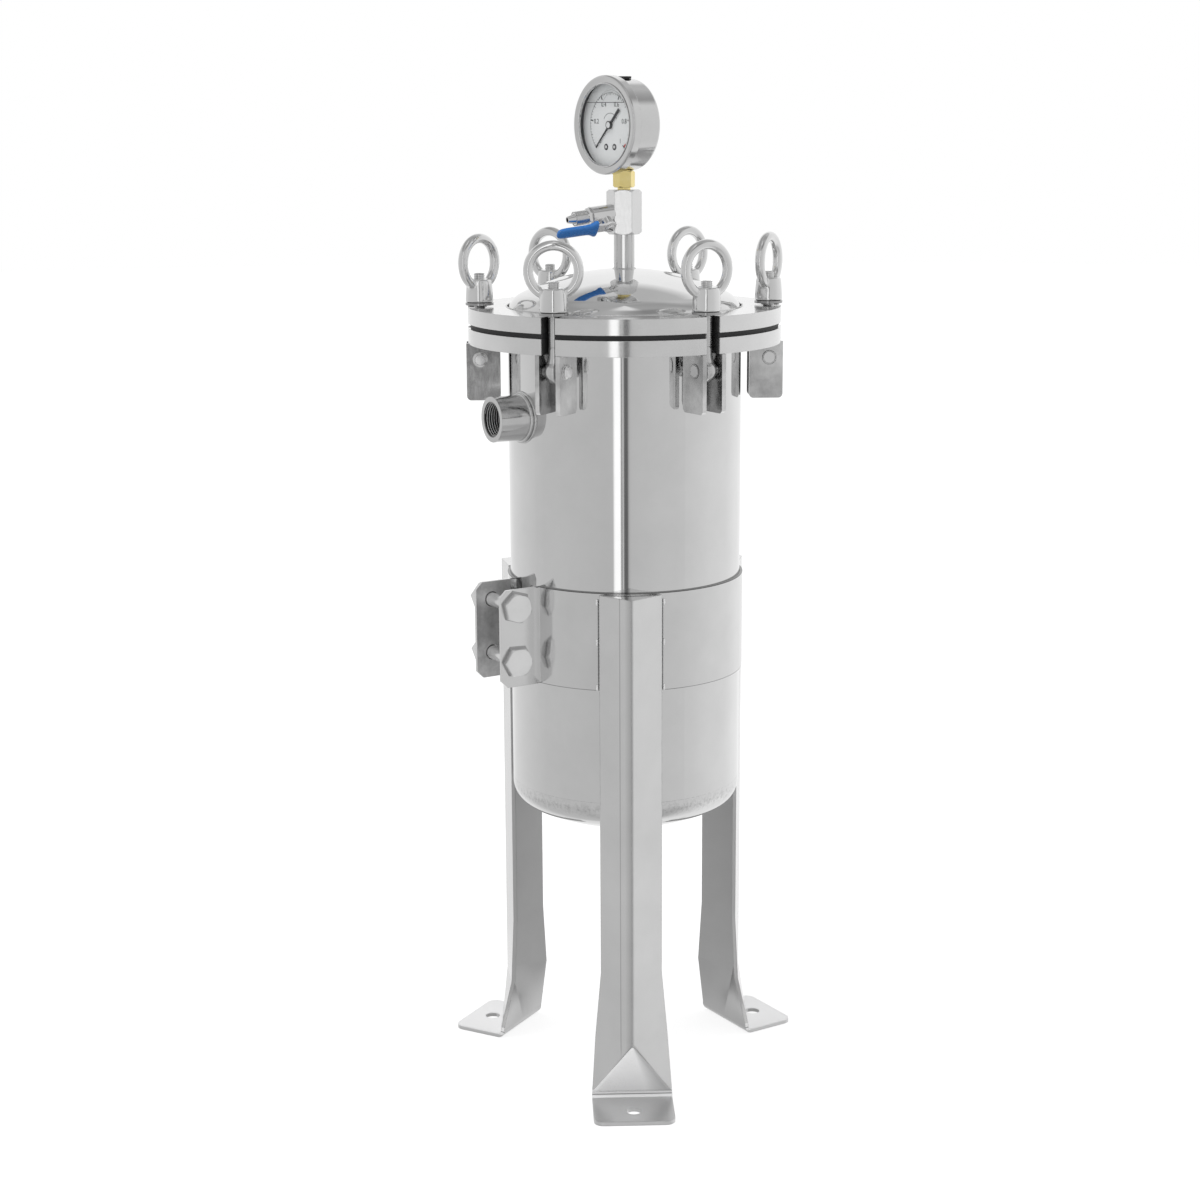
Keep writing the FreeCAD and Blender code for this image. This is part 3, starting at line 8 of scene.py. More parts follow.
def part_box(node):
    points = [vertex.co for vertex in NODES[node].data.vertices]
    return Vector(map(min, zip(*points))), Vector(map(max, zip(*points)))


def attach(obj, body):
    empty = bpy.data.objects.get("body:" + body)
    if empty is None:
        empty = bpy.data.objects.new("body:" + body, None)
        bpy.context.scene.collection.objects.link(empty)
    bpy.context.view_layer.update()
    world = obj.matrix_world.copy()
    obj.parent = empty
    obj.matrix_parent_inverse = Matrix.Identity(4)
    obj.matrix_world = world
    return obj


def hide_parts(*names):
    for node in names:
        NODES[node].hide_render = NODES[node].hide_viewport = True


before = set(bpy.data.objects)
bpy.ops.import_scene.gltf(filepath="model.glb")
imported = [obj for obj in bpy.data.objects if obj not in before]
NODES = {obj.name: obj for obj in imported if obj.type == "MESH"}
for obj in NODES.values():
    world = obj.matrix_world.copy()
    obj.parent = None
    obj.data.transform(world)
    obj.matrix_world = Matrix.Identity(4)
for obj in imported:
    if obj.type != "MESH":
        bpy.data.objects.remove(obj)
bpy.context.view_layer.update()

MM = 0.001

# Stations round the vessel axis, in degrees from -Y towards +X
BOLT_STATIONS = (-30.0, 30.0, 90.0, 150.0, -150.0, -90.0)
RING_TURNS = (-3.0, 30.0, 62.0, 42.0, -42.0, 50.0)
LEG_STATIONS = (0.0, -120.0, 120.0)
CLAMP_STATION = -60.0
INLET_STATION = -62.5
GAUGE_STATION = -53.5
VALVE_STATION = -65.5

# The pressed web above each leg's foot and the clamp band's ears, in millimetres
WEB_TOP, WEB_FOOT, WEB_HALF_WIDTH = 45.7, 7.1, 28.8
EAR_REACH = 88.5
# Welds: the lug plates' and the legs' distances from their middles, and the band's outer radius
LUG_WELD = 9.7
LEG_EDGE = 22.6
BAND_REACH = 86.3
# The clamp bolts' distance from the middle of the pair, and the lever screw's from the valve's middle
CLAMP_LIFT = 19.5
LEVER_SCREW = 16.4


def level(node, top=True):
    """Highest or lowest level of a CAD node, in millimetres."""
    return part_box(node)[1 if top else 0][2] / MM


def middle_level(node):
    return (level(node, False) + level(node)) / 2


FLANGE_BOTTOM = level("body_flange", False)
FLANGE_REACH = -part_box("body_flange")[0][1] / MM
LID_TOP = level("lid_flange")
PIVOT = FLANGE_BOTTOM - 11.5
BOLT_CIRCLE = 103.0
CLAMP_BOLT_REACH = 102.45
NUT_BOTTOM = level("eye_nut_1", False)
RING_LEVEL = NUT_BOTTOM + 16.4 + 11.5
HEX_BOTTOM = level("hex_body", False)
VALVE_LEVEL = HEX_BOTTOM + 15.5
GAUGE_LEVEL = middle_level("gauge_case")
INLET_LEVEL = middle_level("inlet_pad")
APEX = level("lid_dome")


# ---- placing
def tilt(angle, axis):
    return Matrix.Rotation(radians(angle), 4, axis)


def turn_z(angle):
    return tilt(angle, "Z")


def shift(x, y, z):
    return Matrix.Translation((x, y, z))


def new_object(name, data):
    obj = bpy.data.objects.new(name, data)
    bpy.context.scene.collection.objects.link(obj)
    return obj


def add_camera():
    """The photograph's camera: 1.60 m off, 0.70 m up, looking 12.3 degrees down."""
    heading, pitch, roll = -1.912, 12.338, -0.291
    data = bpy.data.cameras.new("photo_camera")
    data.sensor_fit = "HORIZONTAL"
    data.sensor_width = 36.0
    data.lens = 67.18
    data.clip_start = 0.05
    data.clip_end = 60.0
    camera = new_object("photo_camera", data)
    camera.matrix_world = (shift(-0.0719, -1.60254, 0.70182) @ turn_z(heading) @ tilt(90 - pitch, "X")
                           @ tilt(roll, "Z"))
    bpy.context.scene.camera = camera


add_camera()


# ---- node helpers
class Graph:
    """Builds one material's or world's node tree."""

    def __init__(self, tree):
        self.tree = tree
        self.nodes = tree.nodes
        self.nodes.clear()

    def add(self, kind, **values):
        node = self.nodes.new(kind)
        for key, value in values.items():
            setattr(node, key, value)
        return node

    def link(self, source, target):
        self.tree.links.new(source, target)

    def feed(self, socket, value):
        if isinstance(value, bpy.types.NodeSocket):
            self.link(value, socket)
        else:
            socket.default_value = value

    def fill(self, node, **values):
        """Feeds a node's inputs, whose names have underscores for blanks here."""
        for key, value in values.items():
            self.feed(node.inputs[key.replace("_", " ")], value)

    def math(self, operation, *values, clamp=False):
        node = self.add("ShaderNodeMath", operation=operation, use_clamp=clamp)
        for socket, value in zip(node.inputs, values):
            self.feed(socket, value)
        return node.outputs[0]

    def vector_math(self, operation, *values):
        node = self.add("ShaderNodeVectorMath", operation=operation)
        for socket, value in zip(node.inputs, values):
            self.feed(socket, value)
        return node.outputs["Value"]

    def product(self, first, *others):
        for other in others:
            first = self.math("MULTIPLY", first, other)
        return first

    def below(self, value, limit):
        return self.math("LESS_THAN", value, limit)

    def above(self, value, limit):
        return self.math("GREATER_THAN", value, limit)

    def near(self, value, centre, reach):
        return self.below(self.math("ABSOLUTE", self.math("SUBTRACT", value, centre)), reach)

    def split(self, vector):
        node = self.add("ShaderNodeSeparateXYZ")
        self.link(vector, node.inputs[0])
        return node.outputs

    def add_to(self, socket, extra):
        """Adds a value to what already feeds the socket."""
        self.link(self.math("ADD", socket.links[0].from_socket, extra), socket)

    def ramp(self, value, stops):
        node = self.add("ShaderNodeValToRGB")
        elements = node.color_ramp.elements
        while len(elements) < len(stops):
            elements.new(0.5)
        for element, (place, shade) in zip(elements, sorted(stops)):
            element.position = place
            element.color = grey(shade)
        self.link(value, node.inputs[0])
        return node.outputs[0]

    def coordinates(self, scale=(1.0, 1.0, 1.0)):
        place = self.add("ShaderNodeTexCoord").outputs["Object"]
        mapping = self.add("ShaderNodeMapping")
        self.fill(mapping, Scale=scale, Vector=place)
        return mapping.outputs[0]

    def axis_reach(self):
        """The distance from the vessel's axis."""
        return self.vector_math("LENGTH", self.coordinates(LEVEL_ONLY))

    def true_normal(self):
        return self.add("ShaderNodeNewGeometry").outputs["True Normal"]

    def noise(self, scale, detail, roughness, stretch=(1.0, 1.0, 1.0)):
        node = self.add("ShaderNodeTexNoise")
        self.fill(node, Vector=self.coordinates(stretch), Scale=scale, Detail=detail, Roughness=roughness)
        return node.outputs["Fac"]

    def remap(self, value, low, high, from_low=0.0, from_high=1.0):
        """Carries from_low...from_high over to low...high, and holds the ends outside."""
        node = self.add("ShaderNodeMapRange")
        self.fill(node, Value=value, From_Min=from_low, From_Max=from_high, To_Min=low, To_Max=high)
        return node.outputs[0]

    def mix_colour(self, factor, first, second):
        node = self.add("ShaderNodeMix", data_type="RGBA")
        self.feed(node.inputs["Factor"], factor)
        self.feed(node.inputs[6], first)
        self.feed(node.inputs[7], second)
        return node.outputs[2]

    def bump(self, height, strength, distance, normal=None):
        node = self.add("ShaderNodeBump")
        self.fill(node, Strength=strength, Distance=distance, Height=height)
        if normal is not None:
            self.link(normal, node.inputs["Normal"])
        return node.outputs[0]

    def rounded(self, radius):
        node = self.add("ShaderNodeBevel", samples=4)
        self.fill(node, Radius=radius)
        return node.outputs[0]

    def blend(self, factor, first, second, output):
        """Mixes two shaders and hands the mix to the output."""
        mix = self.add("ShaderNodeMixShader")
        for socket, source in zip(mix.inputs, (factor, first.outputs[0], second.outputs[0])):
            self.link(source, socket)
        self.link(mix.outputs[0], output.inputs["Surface"])


def grey(value):
    return (value, value, value, 1.0)


# A scale that drops the height from a place
LEVEL_ONLY = (1.0, 1.0, 0.0)


def new_material(name):
    material = bpy.data.materials.new(name)
    material.use_nodes = True
    graph = Graph(material.node_tree)
    output = graph.add("ShaderNodeOutputMaterial")
    shader = graph.add("ShaderNodeBsdfPrincipled")
    graph.link(shader.outputs[0], output.inputs["Surface"])
    return material, graph, shader, output


def front_fold_painted_light(graph, shader, tint, painted_lit_face=False):
    """A leg's bend into its foot: a painted highlight along the bend, with a painted shade line in its thin
    crease. The inner side of the sheet is rougher and has painted shade.
    """
    facing = graph.vector_math("DOT_PRODUCT", graph.true_normal(), graph.coordinates(LEVEL_ONLY))
    inward = graph.product(graph.below(facing, 0.0), 0.30)
    # Painted shade on the sheet's inward faces.
    tint = graph.mix_colour(inward, tint, grey(0.10))
    rise = graph.split(graph.coordinates())["Z"]
    # Painted highlight along the bend, made less metallic further down so that it reads bright, and a painted
    # shade line just under it.
    bend = graph.product(graph.near(rise, 5.9 * MM, 2.7 * MM), graph.above(facing, 0.0))
    crease = graph.near(rise, 5.1 * MM, 0.35 * MM)
    tint = graph.mix_colour(bend, tint, grey(0.95))
    tint = graph.mix_colour(graph.product(crease, bend), tint, grey(0.30))
    flat = graph.below(rise, 3.15 * MM)
    graph.add_to(shader.inputs["Roughness"],
                 graph.math("ADD", graph.product(flat, 0.22), graph.product(inward, 0.6)))
    # Painted highlight on top of the rear legs' foot plates.
    if painted_lit_face:
        face = graph.product(flat, graph.above(rise, 2.5 * MM))
        tint = graph.mix_colour(face, tint, grey(0.93))
        bend = graph.math("MAXIMUM", bend, face)
    graph.fill(shader, Metallic=graph.remap(bend, 1.0, 0.15))
    return tint


def rear_fold_painted_light(graph, shader, tint):
    """The same bend on a rear leg, whose foot plate also has a painted highlight on top."""
    return front_fold_painted_light(graph, shader, tint, painted_lit_face=True)


def front_shadow(graph, shader, tint):
    """A painted dark reflection in a soft strip and a dark line down the front leg, left of its middle and
    above its foot.
    """
    place = graph.split(graph.coordinates())
    across = place["X"]
    # The strip just left of the fold is a painted dark reflection.
    shadow = graph.product(graph.remap(across, 0.0, 0.34, -5.0 * MM, -0.6 * MM),
                           graph.remap(across, 1.0, 0.0, -0.4 * MM, 0.6 * MM))
    off = graph.math("ABSOLUTE", graph.math("ADD", across, 8.2 * MM))
    both = graph.math("MAXIMUM", shadow, graph.remap(off, 0.30, 0.0, 0.15 * MM, 0.55 * MM))
    above_foot = graph.remap(place["Z"], 0.0, 1.0, 34.0 * MM, 44.0 * MM)
    return graph.mix_colour(graph.product(both, above_foot), tint, grey(0.10))


def band_stain_and_rim_shade(graph, shader, tint):
    """A stained face on one of the clamp band's ears, and painted shadow lines along the band's two rims."""
    turn = radians(CLAMP_STATION)
    along = Vector((cos(turn), sin(turn), 0.0))
    facing = graph.vector_math("DOT_PRODUCT", graph.true_normal(), along)
    spot = graph.vector_math("DOT_PRODUCT", graph.coordinates(), along)
    reach = graph.axis_reach()
    ear = graph.product(graph.above(facing, 0.8), graph.below(spot, -10.0 * MM),
                        graph.above(reach, EAR_REACH * MM))
    stain = graph.ramp(graph.noise(60.0, 5.0, 0.65), [(0.34, 0.40), (0.66, 0.72)])
    tint = graph.mix_colour(ear, tint, stain)
    graph.fill(shader, Metallic=graph.remap(ear, 1.0, 0.55))
    graph.add_to(shader.inputs["Roughness"], graph.product(ear, 0.35))
    height = graph.split(graph.coordinates())["Z"]
    wall = graph.below(reach, EAR_REACH * MM)
    # Painted shadow lines along the band's bottom and top rims.
    for top, shade in ((False, 0.40), (True, 0.12)):
        rim = graph.product(graph.near(height, level("clamp_band", top) * MM, 0.5 * MM), wall)
        tint = graph.mix_colour(rim, tint, grey(shade))
    return tint


def paired_plates_painted_shade(graph, shader, tint):
    """Lug plates stand in pairs: the faces that look at each other get painted shade."""
    place = graph.split(graph.coordinates())
    out = graph.split(graph.true_normal())
    turn = graph.math("SUBTRACT", graph.product(out["Y"], place["X"]), graph.product(out["X"], place["Y"]))
    bearing = graph.math("ARCTAN2", place["X"], graph.product(place["Y"], -1.0))
    bearing = graph.math("SUBTRACT", bearing, radians(BOLT_STATIONS[0]))
    side = graph.math("SINE", graph.product(bearing, float(len(BOLT_STATIONS))))
    inner = graph.below(graph.product(turn, side), -10.0 * MM)
    # Painted shade on the faces that turn to the other plate of the pair.
    return graph.mix_colour(graph.product(inner, 0.55), tint, grey(0.08))


def slot_walls_painted_shade(graph, shader, tint):
    """The walls of the slots behind the flange's rim are dull and have painted shade."""
    upright = graph.near(graph.split(graph.true_normal())["Z"], 0.0, 0.5)
    wall = graph.product(upright, graph.below(graph.axis_reach(), (FLANGE_REACH - 1.2) * MM))
    graph.add_to(shader.inputs["Roughness"], graph.product(wall, 0.4))
    # Painted shade inside the slots.
    return graph.mix_colour(graph.product(wall, 0.80), tint, grey(0.03))


def web_shade(graph, shader, tint):
    """The front leg's pressed web is shaded from its middle to the right."""
    place = graph.split(graph.coordinates())
    down = graph.remap(place["Z"], 0.0, 1.0, WEB_TOP * MM, WEB_FOOT * MM)
    across = graph.math("DIVIDE", place["X"], graph.product(down, WEB_HALF_WIDTH * MM))
    dark = graph.product(graph.remap(across, 0.0, 0.60, 0.35, 0.92), graph.below(across, 1.2))
    return graph.mix_colour(dark, tint, grey(0.22))


def steel(name, tone, rough, spread, edge, grain, grain_scale, grain_depth, cloud, waviness=0.0,
          wave_scale=9.0, speckle=None, metallic=1.0, details=()):
    """A metal with a fine directional grain, cloudy polish marks and softly broken edges."""
    material, graph, shader, output = new_material(name)
    fine = graph.noise(grain_scale, 2.0, 0.5, grain)
    marks = graph.noise(26.0, 5.0, 0.6)
    broad = graph.noise(7.0, 3.0, 0.5)
    shade = graph.remap(marks, tone * (1.0 - cloud), min(1.0, tone * (1.0 + cloud)), 0.3, 0.7)
    colour = graph.add("ShaderNodeCombineColor")
    for socket in colour.inputs:
        graph.link(shade, socket)
    tint = colour.outputs[0]
    haze = graph.math("ADD", graph.product(fine, 0.5), graph.product(broad, 0.5))
    rough = graph.remap(haze, max(0.02, rough - spread), rough + spread, 0.3, 0.7)
    graph.fill(shader, Metallic=metallic, Roughness=rough)
    normal = graph.rounded(edge * MM)
    if waviness:
        normal = graph.bump(graph.noise(wave_scale, 2.0, 0.4), 1.0, waviness * MM, normal)
    if speckle:
        low, high, depth = speckle
        middle, reach = (low + high) / 2 * MM, (high - low) / 2 * MM
        height = graph.split(graph.coordinates())["Z"]
        away = graph.math("ABSOLUTE", graph.math("SUBTRACT", height, middle))
        mask = graph.math("SUBTRACT", 1.0, graph.math("DIVIDE", away, reach), clamp=True)
        blotch = graph.noise(420.0, 3.0, 0.7)
        normal = graph.bump(graph.product(blotch, mask), 1.0, depth * MM, normal)
        dull = graph.product(graph.remap(blotch, 0.0, 0.24, 0.45, 0.62), mask)
        tint = graph.mix_colour(dull, tint, grey(0.12))
    for detail in details:
        tint = detail(graph, shader, tint)
    graph.fill(shader, Base_Color=tint, Normal=graph.bump(fine, 1.0, grain_depth, normal))
    return material


def coated(name, colour, rough, coat, variation, bump_scale=700.0, bump_depth=0.00002, edge=0.3):
    """Rubber, vinyl, paint or plastic with a fine skin texture."""
    material, graph, shader, output = new_material(name)
    skin = graph.noise(bump_scale, 3.0, 0.6)
    patches = graph.noise(35.0, 3.0, 0.5)
    dark = tuple(part * (1.0 - variation) for part in colour)
    light = tuple(min(1.0, part * (1.0 + variation)) for part in colour)
    graph.fill(shader, Base_Color=graph.mix_colour(patches, (*dark, 1.0), (*light, 1.0)),
               Roughness=graph.remap(skin, rough * 0.85, min(1.0, rough * 1.15)),
               Coat_Weight=coat, Coat_Roughness=0.12,
               Normal=graph.bump(skin, 1.0, bump_depth, graph.rounded(edge * MM)))
    return material


def clear_glass(name):
    """A thin clear pane: it lets the dial show and reflects at a slant."""
    material, graph, shader, output = new_material(name)
    graph.nodes.remove(shader)
    clear = graph.add("ShaderNodeBsdfTransparent")
    graph.fill(clear, Color=(0.985, 0.99, 0.99, 1.0))
    gloss = graph.add("ShaderNodeBsdfGlossy")
    graph.fill(gloss, Roughness=graph.remap(graph.noise(18.0, 3.0, 0.5), 0.01, 0.05))
    fresnel = graph.add("ShaderNodeFresnel")
    graph.fill(fresnel, IOR=1.45)
    outside = graph.math("SUBTRACT", 1.0, graph.add("ShaderNodeNewGeometry").outputs["Backfacing"])
    graph.blend(graph.product(fresnel.outputs[0], outside), clear, gloss, output)
    return material


def felt(name):
    """White felt: clumped fibres with a soft sheen."""
    material, graph, shader, output = new_material(name)
    fibres = graph.noise(900.0, 6.0, 0.8)
    clumps = graph.noise(120.0, 4.0, 0.6)
    white = graph.mix_colour(clumps, (0.78, 0.77, 0.73, 1.0), (0.9, 0.9, 0.87, 1.0))
    graph.fill(shader, Base_Color=white, Roughness=0.95, Sheen_Weight=0.4,
               Normal=graph.bump(fibres, 1.0, 0.0003))
    return material


def brass(name):
    """Yellow brass with cloudy tarnish."""
    material, graph, shader, output = new_material(name)
    fine = graph.noise(800.0, 2.0, 0.5)
    stain = graph.noise(150.0, 4.0, 0.6)
    yellow = graph.mix_colour(stain, (0.93, 0.74, 0.26, 1.0), (1.0, 0.88, 0.46, 1.0))
    graph.fill(shader, Base_Color=yellow, Metallic=1.0, Roughness=graph.remap(fine, 0.18, 0.30),
               Normal=graph.bump(fine, 1.0, 0.00001, graph.rounded(0.4 * MM)))
    return material


EVEN = (1.0, 1.0, 1.0)
# Tone; roughness and its spread; edge in mm; the grain's stretch, scale and depth in m; clouding; waves in mm
# and their scale. The legs differ only in the painted light and shade on them.
LEG_STEEL = (0.76, 0.16, 0.05, 1.4, (1.0, 1.0, 0.06), 800.0, 4e-6, 0.04, 0.05, 8.0)
STEELS = {
    "vessel": (0.77, 0.045, 0.015, 0.5, (1.0, 1.0, 0.05), 700.0, 8e-7, 0.03, 0.02, 6.0),
    "flange": (0.78, 0.10, 0.03, 0.7, (1.0, 1.0, 6.0), 500.0, 2e-6, 0.05),
    "dome": (0.80, 0.05, 0.02, 0.4, EVEN, 900.0, 8e-7, 0.03, 0.10, 9.0),
    "plate": (0.70, 0.14, 0.05, 0.5, (1.0, 1.0, 0.2), 700.0, 3e-6, 0.42, 0.30, 55.0),
    "band": (0.76, 0.12, 0.04, 0.4, (0.1, 0.1, 6.0), 500.0, 2e-6, 0.04, 0.03, 10.0),
    # Dark steel: painted shade under the nuts and under the clamp bolts' heads.
    "washer": (0.42, 0.14, 0.05, 0.2, EVEN, 900.0, 2e-6, 0.05),
    "leg": LEG_STEEL,
    "front_leg": LEG_STEEL,
    "bright": (0.80, 0.07, 0.03, 0.35, EVEN, 900.0, 2e-6, 0.05),
    "forged": (0.80, 0.06, 0.02, 0.4, EVEN, 600.0, 2e-6, 0.06, 0.04, 70.0),
    "hex": (0.84, 0.18, 0.04, 0.9, (1.0, 1.0, 0.3), 900.0, 5e-7, 0.03),
    "riser": (0.66, 0.05, 0.02, 0.3, (0.2, 0.2, 4.0), 900.0, 5e-7, 0.04),
    # Dark steel: painted shade in the ports' threads and round the clevis pins.
    "thread_root": (0.26, 0.30, 0.05, 0.1, EVEN, 900.0, 2e-6, 0.05),
    "port": (0.62, 0.13, 0.05, 0.6, (4.0, 0.4, 0.4), 300.0, 4e-6, 0.12, 0.06, 60.0),
    "satin": (0.90, 0.34, 0.05, 0.3, EVEN, 900.0, 2e-6, 0.05),
    "thread": (0.66, 0.16, 0.05, 0.1, EVEN, 900.0, 4e-6, 0.06),
    "weld": (0.72, 0.20, 0.06, 0.2, EVEN, 300.0, 1e-5, 0.14),
    # The pressed web: near white and not metallic, painted brightness standing in for the steel's bright
    # reflection.
    "flare": (0.97, 0.28, 0.05, 0.3, EVEN, 900.0, 5e-7, 0.03),
    "bolt": (0.84, 0.16, 0.05, 0.4, EVEN, 900.0, 2e-6, 0.08, 0.05, 60.0),
    "peened": (0.92, 0.45, 0.08, 0.3, EVEN, 500.0, 4e-5, 0.06),
    "gauge": (0.72, 0.12, 0.04, 0.6, EVEN, 800.0, 3e-6, 0.03),
}

STEEL_OPTIONS = {
    "vessel": {"speckle": (208.0, 222.0, 0.12)},
    "flange": {"metallic": 0.93, "details": (slot_walls_painted_shade,)},
    "plate": {"metallic": 0.93, "details": (paired_plates_painted_shade,)},
    "band": {"details": (band_stain_and_rim_shade,)},
    "leg": {"details": (rear_fold_painted_light,)},
    "front_leg": {"details": (front_fold_painted_light, front_shadow)},
    "hex": {"metallic": 0.76},
    "satin": {"metallic": 0.6},
    "thread": {"metallic": 0.9},
    "flare": {"metallic": 0.0, "details": (web_shade,)},
    "bolt": {"metallic": 0.8},
    "peened": {"metallic": 0.45},
}

MATERIALS = {key: steel(f"{key}_steel", *row, **STEEL_OPTIONS.get(key, {})) for key, row in STEELS.items()}
MATERIALS.update({
    "brass": brass("socket_brass"),
    "rubber": coated("black_rubber", (0.022, 0.022, 0.023), 0.62, 0.0, 0.2),
    "vinyl": coated("blue_vinyl", (0.022, 0.175, 0.54), 0.34, 0.35, 0.06, 300.0, 0.00003, 0.8),
    "dial": coated("dial_paint", (0.88, 0.88, 0.88), 0.5, 0.0, 0.02, 900.0, 0.000003, 0.1),
    "ink": coated("dial_ink", (0.03, 0.03, 0.035), 0.55, 0.0, 0.1, 900.0, 0.000002, 0.05),
    "red_ink": coated("dial_red_ink", (0.55, 0.04, 0.03), 0.55, 0.0, 0.05, 900.0, 0.000002, 0.05),
    "collar": coated("collar_plastic", (0.82, 0.82, 0.80), 0.45, 0.0, 0.03),
    "glass": clear_glass("gauge_glass_clear"),
    "felt": felt("filter_felt"),
})

NODE_MATERIALS = {
    "vessel": ("vessel_shell", "bottom_head"),
    "flange": ("body_flange", "lid_flange"),
    "dome": ("lid_dome",),
    "plate": ("lug_plates", "inlet_pad"),
    "band": ("clamp_band",),
    "front_leg": ("leg_front",),
    "leg": ("leg_rear_left", "leg_rear_right"),
    "hex": ("hex_body",),
    "riser": ("riser_pipe",),
    "port": ("inlet_coupling", "outlet_coupling"),
    "satin": ("valve_lever", "lever_screw"),
    "bolt": ("clamp_bolts",),
    "bright": ("clamp_nuts", "clamp_washers", "clevis_pins", "valve_body", "vent_nipple", "valve_stem",
               "valve_ball"),
    # The washers take the dark steel: painted shade under the nuts.
    "washer": [f"bolt_washer_{index}" for index in range(1, 7)],
    "forged": [f"{kind}_{index}" for kind in ("eye_nut", "swing_bolt") for index in range(1, 7)],
    "thread": ("bag_seat_ring", "restrainer_basket"),
    "gauge": ("gauge_case", "gauge_bezel"),
    "brass": ("gauge_stem_nut", "gauge_movement"),
    "rubber": ("flange_gasket", "gauge_fill_plug"),
    "vinyl": ("lever_grip",),
    "dial": ("gauge_dial",),
    "ink": ("gauge_pointer",),
    "collar": ("bag_collar",),
    "glass": ("gauge_glass",),
    "felt": ("filter_bag",),
}

for key, names in NODE_MATERIALS.items():
    for node_name in names:
        for slot in NODES[node_name].material_slots:
            slot.material = MATERIALS[key]


# ---- mesh helpers
def piece(name, vertices, faces, body, material, slot, place=None, smooth=True):
    """A new object from vertices in millimetres, in the row frame or in the given frame."""
    place = place or Matrix.Identity(4)
    mesh = bpy.data.meshes.new(name)
    mesh.from_pydata([tuple((place @ Vector(vertex)) * MM) for vertex in vertices], [], faces)
    mesh.validate()
    mesh.polygons.foreach_set("use_smooth", [smooth] * len(mesh.polygons))
    mesh.update()
    mesh.materials.append(MATERIALS[material])
    obj = new_object(name, mesh)
    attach(obj, body)
    return obj


def bake(obj):
    """Takes the finished mesh of an object and removes the object."""
    bpy.context.view_layer.update()
    mesh = bpy.data.meshes.new_from_object(obj.evaluated_get(bpy.context.evaluated_depsgraph_get()))
    bpy.data.objects.remove(obj)
    return mesh


def gauge_place():
    return shift(0, 0, GAUGE_LEVEL) @ turn_z(GAUGE_STATION) @ tilt(90, "X")


def valve_place():
    return shift(0, 0, VALVE_LEVEL) @ turn_z(VALVE_STATION) @ tilt(6, "X") @ tilt(45, "Y")


def clamp_place(lift):
    """The frame of a clamp bolt, with its axis along Z, at a height over the middle of the pair."""
    spot = shift(0, -CLAMP_BOLT_REACH, middle_level("clamp_bolts") + lift)
    return turn_z(CLAMP_STATION) @ spot @ tilt(-90, "Y")


def circle(count, steps=None):
    """The angles of equal steps round a circle, in radians."""
    return [2 * pi * step / count for step in range(steps or count)]


def polar(radius, angle, height):
    return radius * cos(angle), radius * sin(angle), height


def tube_faces(rings, around, closed=False, first=0):
    """Faces between rings of points that follow one another in a list."""
    faces = []
    for ring in range(rings if closed else rings - 1):
        after = (ring + 1) % rings
        for step in range(around):
            following = (step + 1) % around
            faces.append((first + ring * around + step, first + ring * around + following,
                          first + after * around + following, first + after * around + step))
    return faces


def lathe_faces(segments, count, closed):
    """Faces between like profiles of `count` points that stand round a circle."""
    faces = []
    for step in range(segments):
        ahead = (step + 1) % segments
        for row in range(count if closed else count - 1):
            after = (row + 1) % count
            faces.append((step * count + row, ahead * count + row,
                          ahead * count + after, step * count + after))
    return faces


def spin(profile, segments, closed=False):
    """Vertices and faces of (radius, height) points turned about the Z axis."""
    vertices = [polar(radius, angle, height) for angle in circle(segments) for radius, height in profile]
    return vertices, lathe_faces(segments, len(profile), closed)


def helix(root, crest, pitch, low, high, segments=28, flat=(0.42, 0.58)):
    """A thread: a helical ridge between the root and crest radii from one level to another."""
    vertices, faces = [], []
    steps = int(round((high - low) / pitch * segments))
    for step, angle in enumerate(circle(segments, steps + segments + 1)):
        start = low + pitch * (step / segments - 0.5)
        for radius, rise in ((root, 0.0), (crest, flat[0]), (crest, flat[1])):
            vertices.append(polar(radius, angle, min(max(start + pitch * rise, low), high)))
    for step in range(steps + segments):
        here = step * 3
        ahead = here + 3
        faces.append((here, ahead, ahead + 1, here + 1))
        faces.append((here + 1, ahead + 1, ahead + 2, here + 2))
        if step < steps:
            up = here + segments * 3
            faces.append((here + 2, ahead + 2, up + 3, up))
    return vertices, faces


def merge(*parts):
    """Joins (vertices, faces, place) parts into one pair of lists."""
    vertices, faces = [], []
    for part in parts:
        place = part[2] if len(part) > 2 else Matrix.Identity(4)
        first = len(vertices)
        vertices += [tuple(place @ Vector(vertex)) for vertex in part[0]]
        faces += [tuple(index + first for index in face) for face in part[1]]
    return vertices, faces


def bead(points, radius, closed, ripple, pitch, seed, sides=8):
    """A weld bead: a tube along points with the scales of a hand-laid weld."""
    dice = random.Random(seed)
    line = [Vector(point) for point in points]
    if closed:
        line.append(line[0].copy())
    dense = []
    for start, end in zip(line, line[1:]):
        steps = max(1, int((end - start).length / (pitch / 4)))
        dense += [start.lerp(end, step / steps) for step in range(steps)]
    if not closed:
        dense.append(line[-1])
    vertices = []
    count = len(dense)
    travelled = 0.0
    for index, point in enumerate(dense):
        ahead = dense[(index + 1) % count] if closed or index + 1 < count else point
        behind = dense[index - 1] if closed or index else point
        forward = (ahead - behind).normalized()
        side = forward.cross(Vector((0, 0, 1)))
        if side.length < 0.1:
            side = forward.cross(Vector((0, 1, 0)))
        side.normalize()
        lift = side.cross(forward)
        wave = (travelled / pitch) % 1.0
        size = radius * (1.0 - ripple * wave + ripple * 0.5 * (dice.random() - 0.5))
        if not closed and index in (0, count - 1):
            size *= 0.3
        for angle in circle(sides):
            vertices.append(point + side * (size * cos(angle)) + lift * (size * sin(angle)))
        travelled += (ahead - point).length
    return vertices, tube_faces(count, sides, closed)


def ring_points(radius, height, count):
    return [Vector((radius * sin(angle), -radius * cos(angle), height)) for angle in circle(count)]


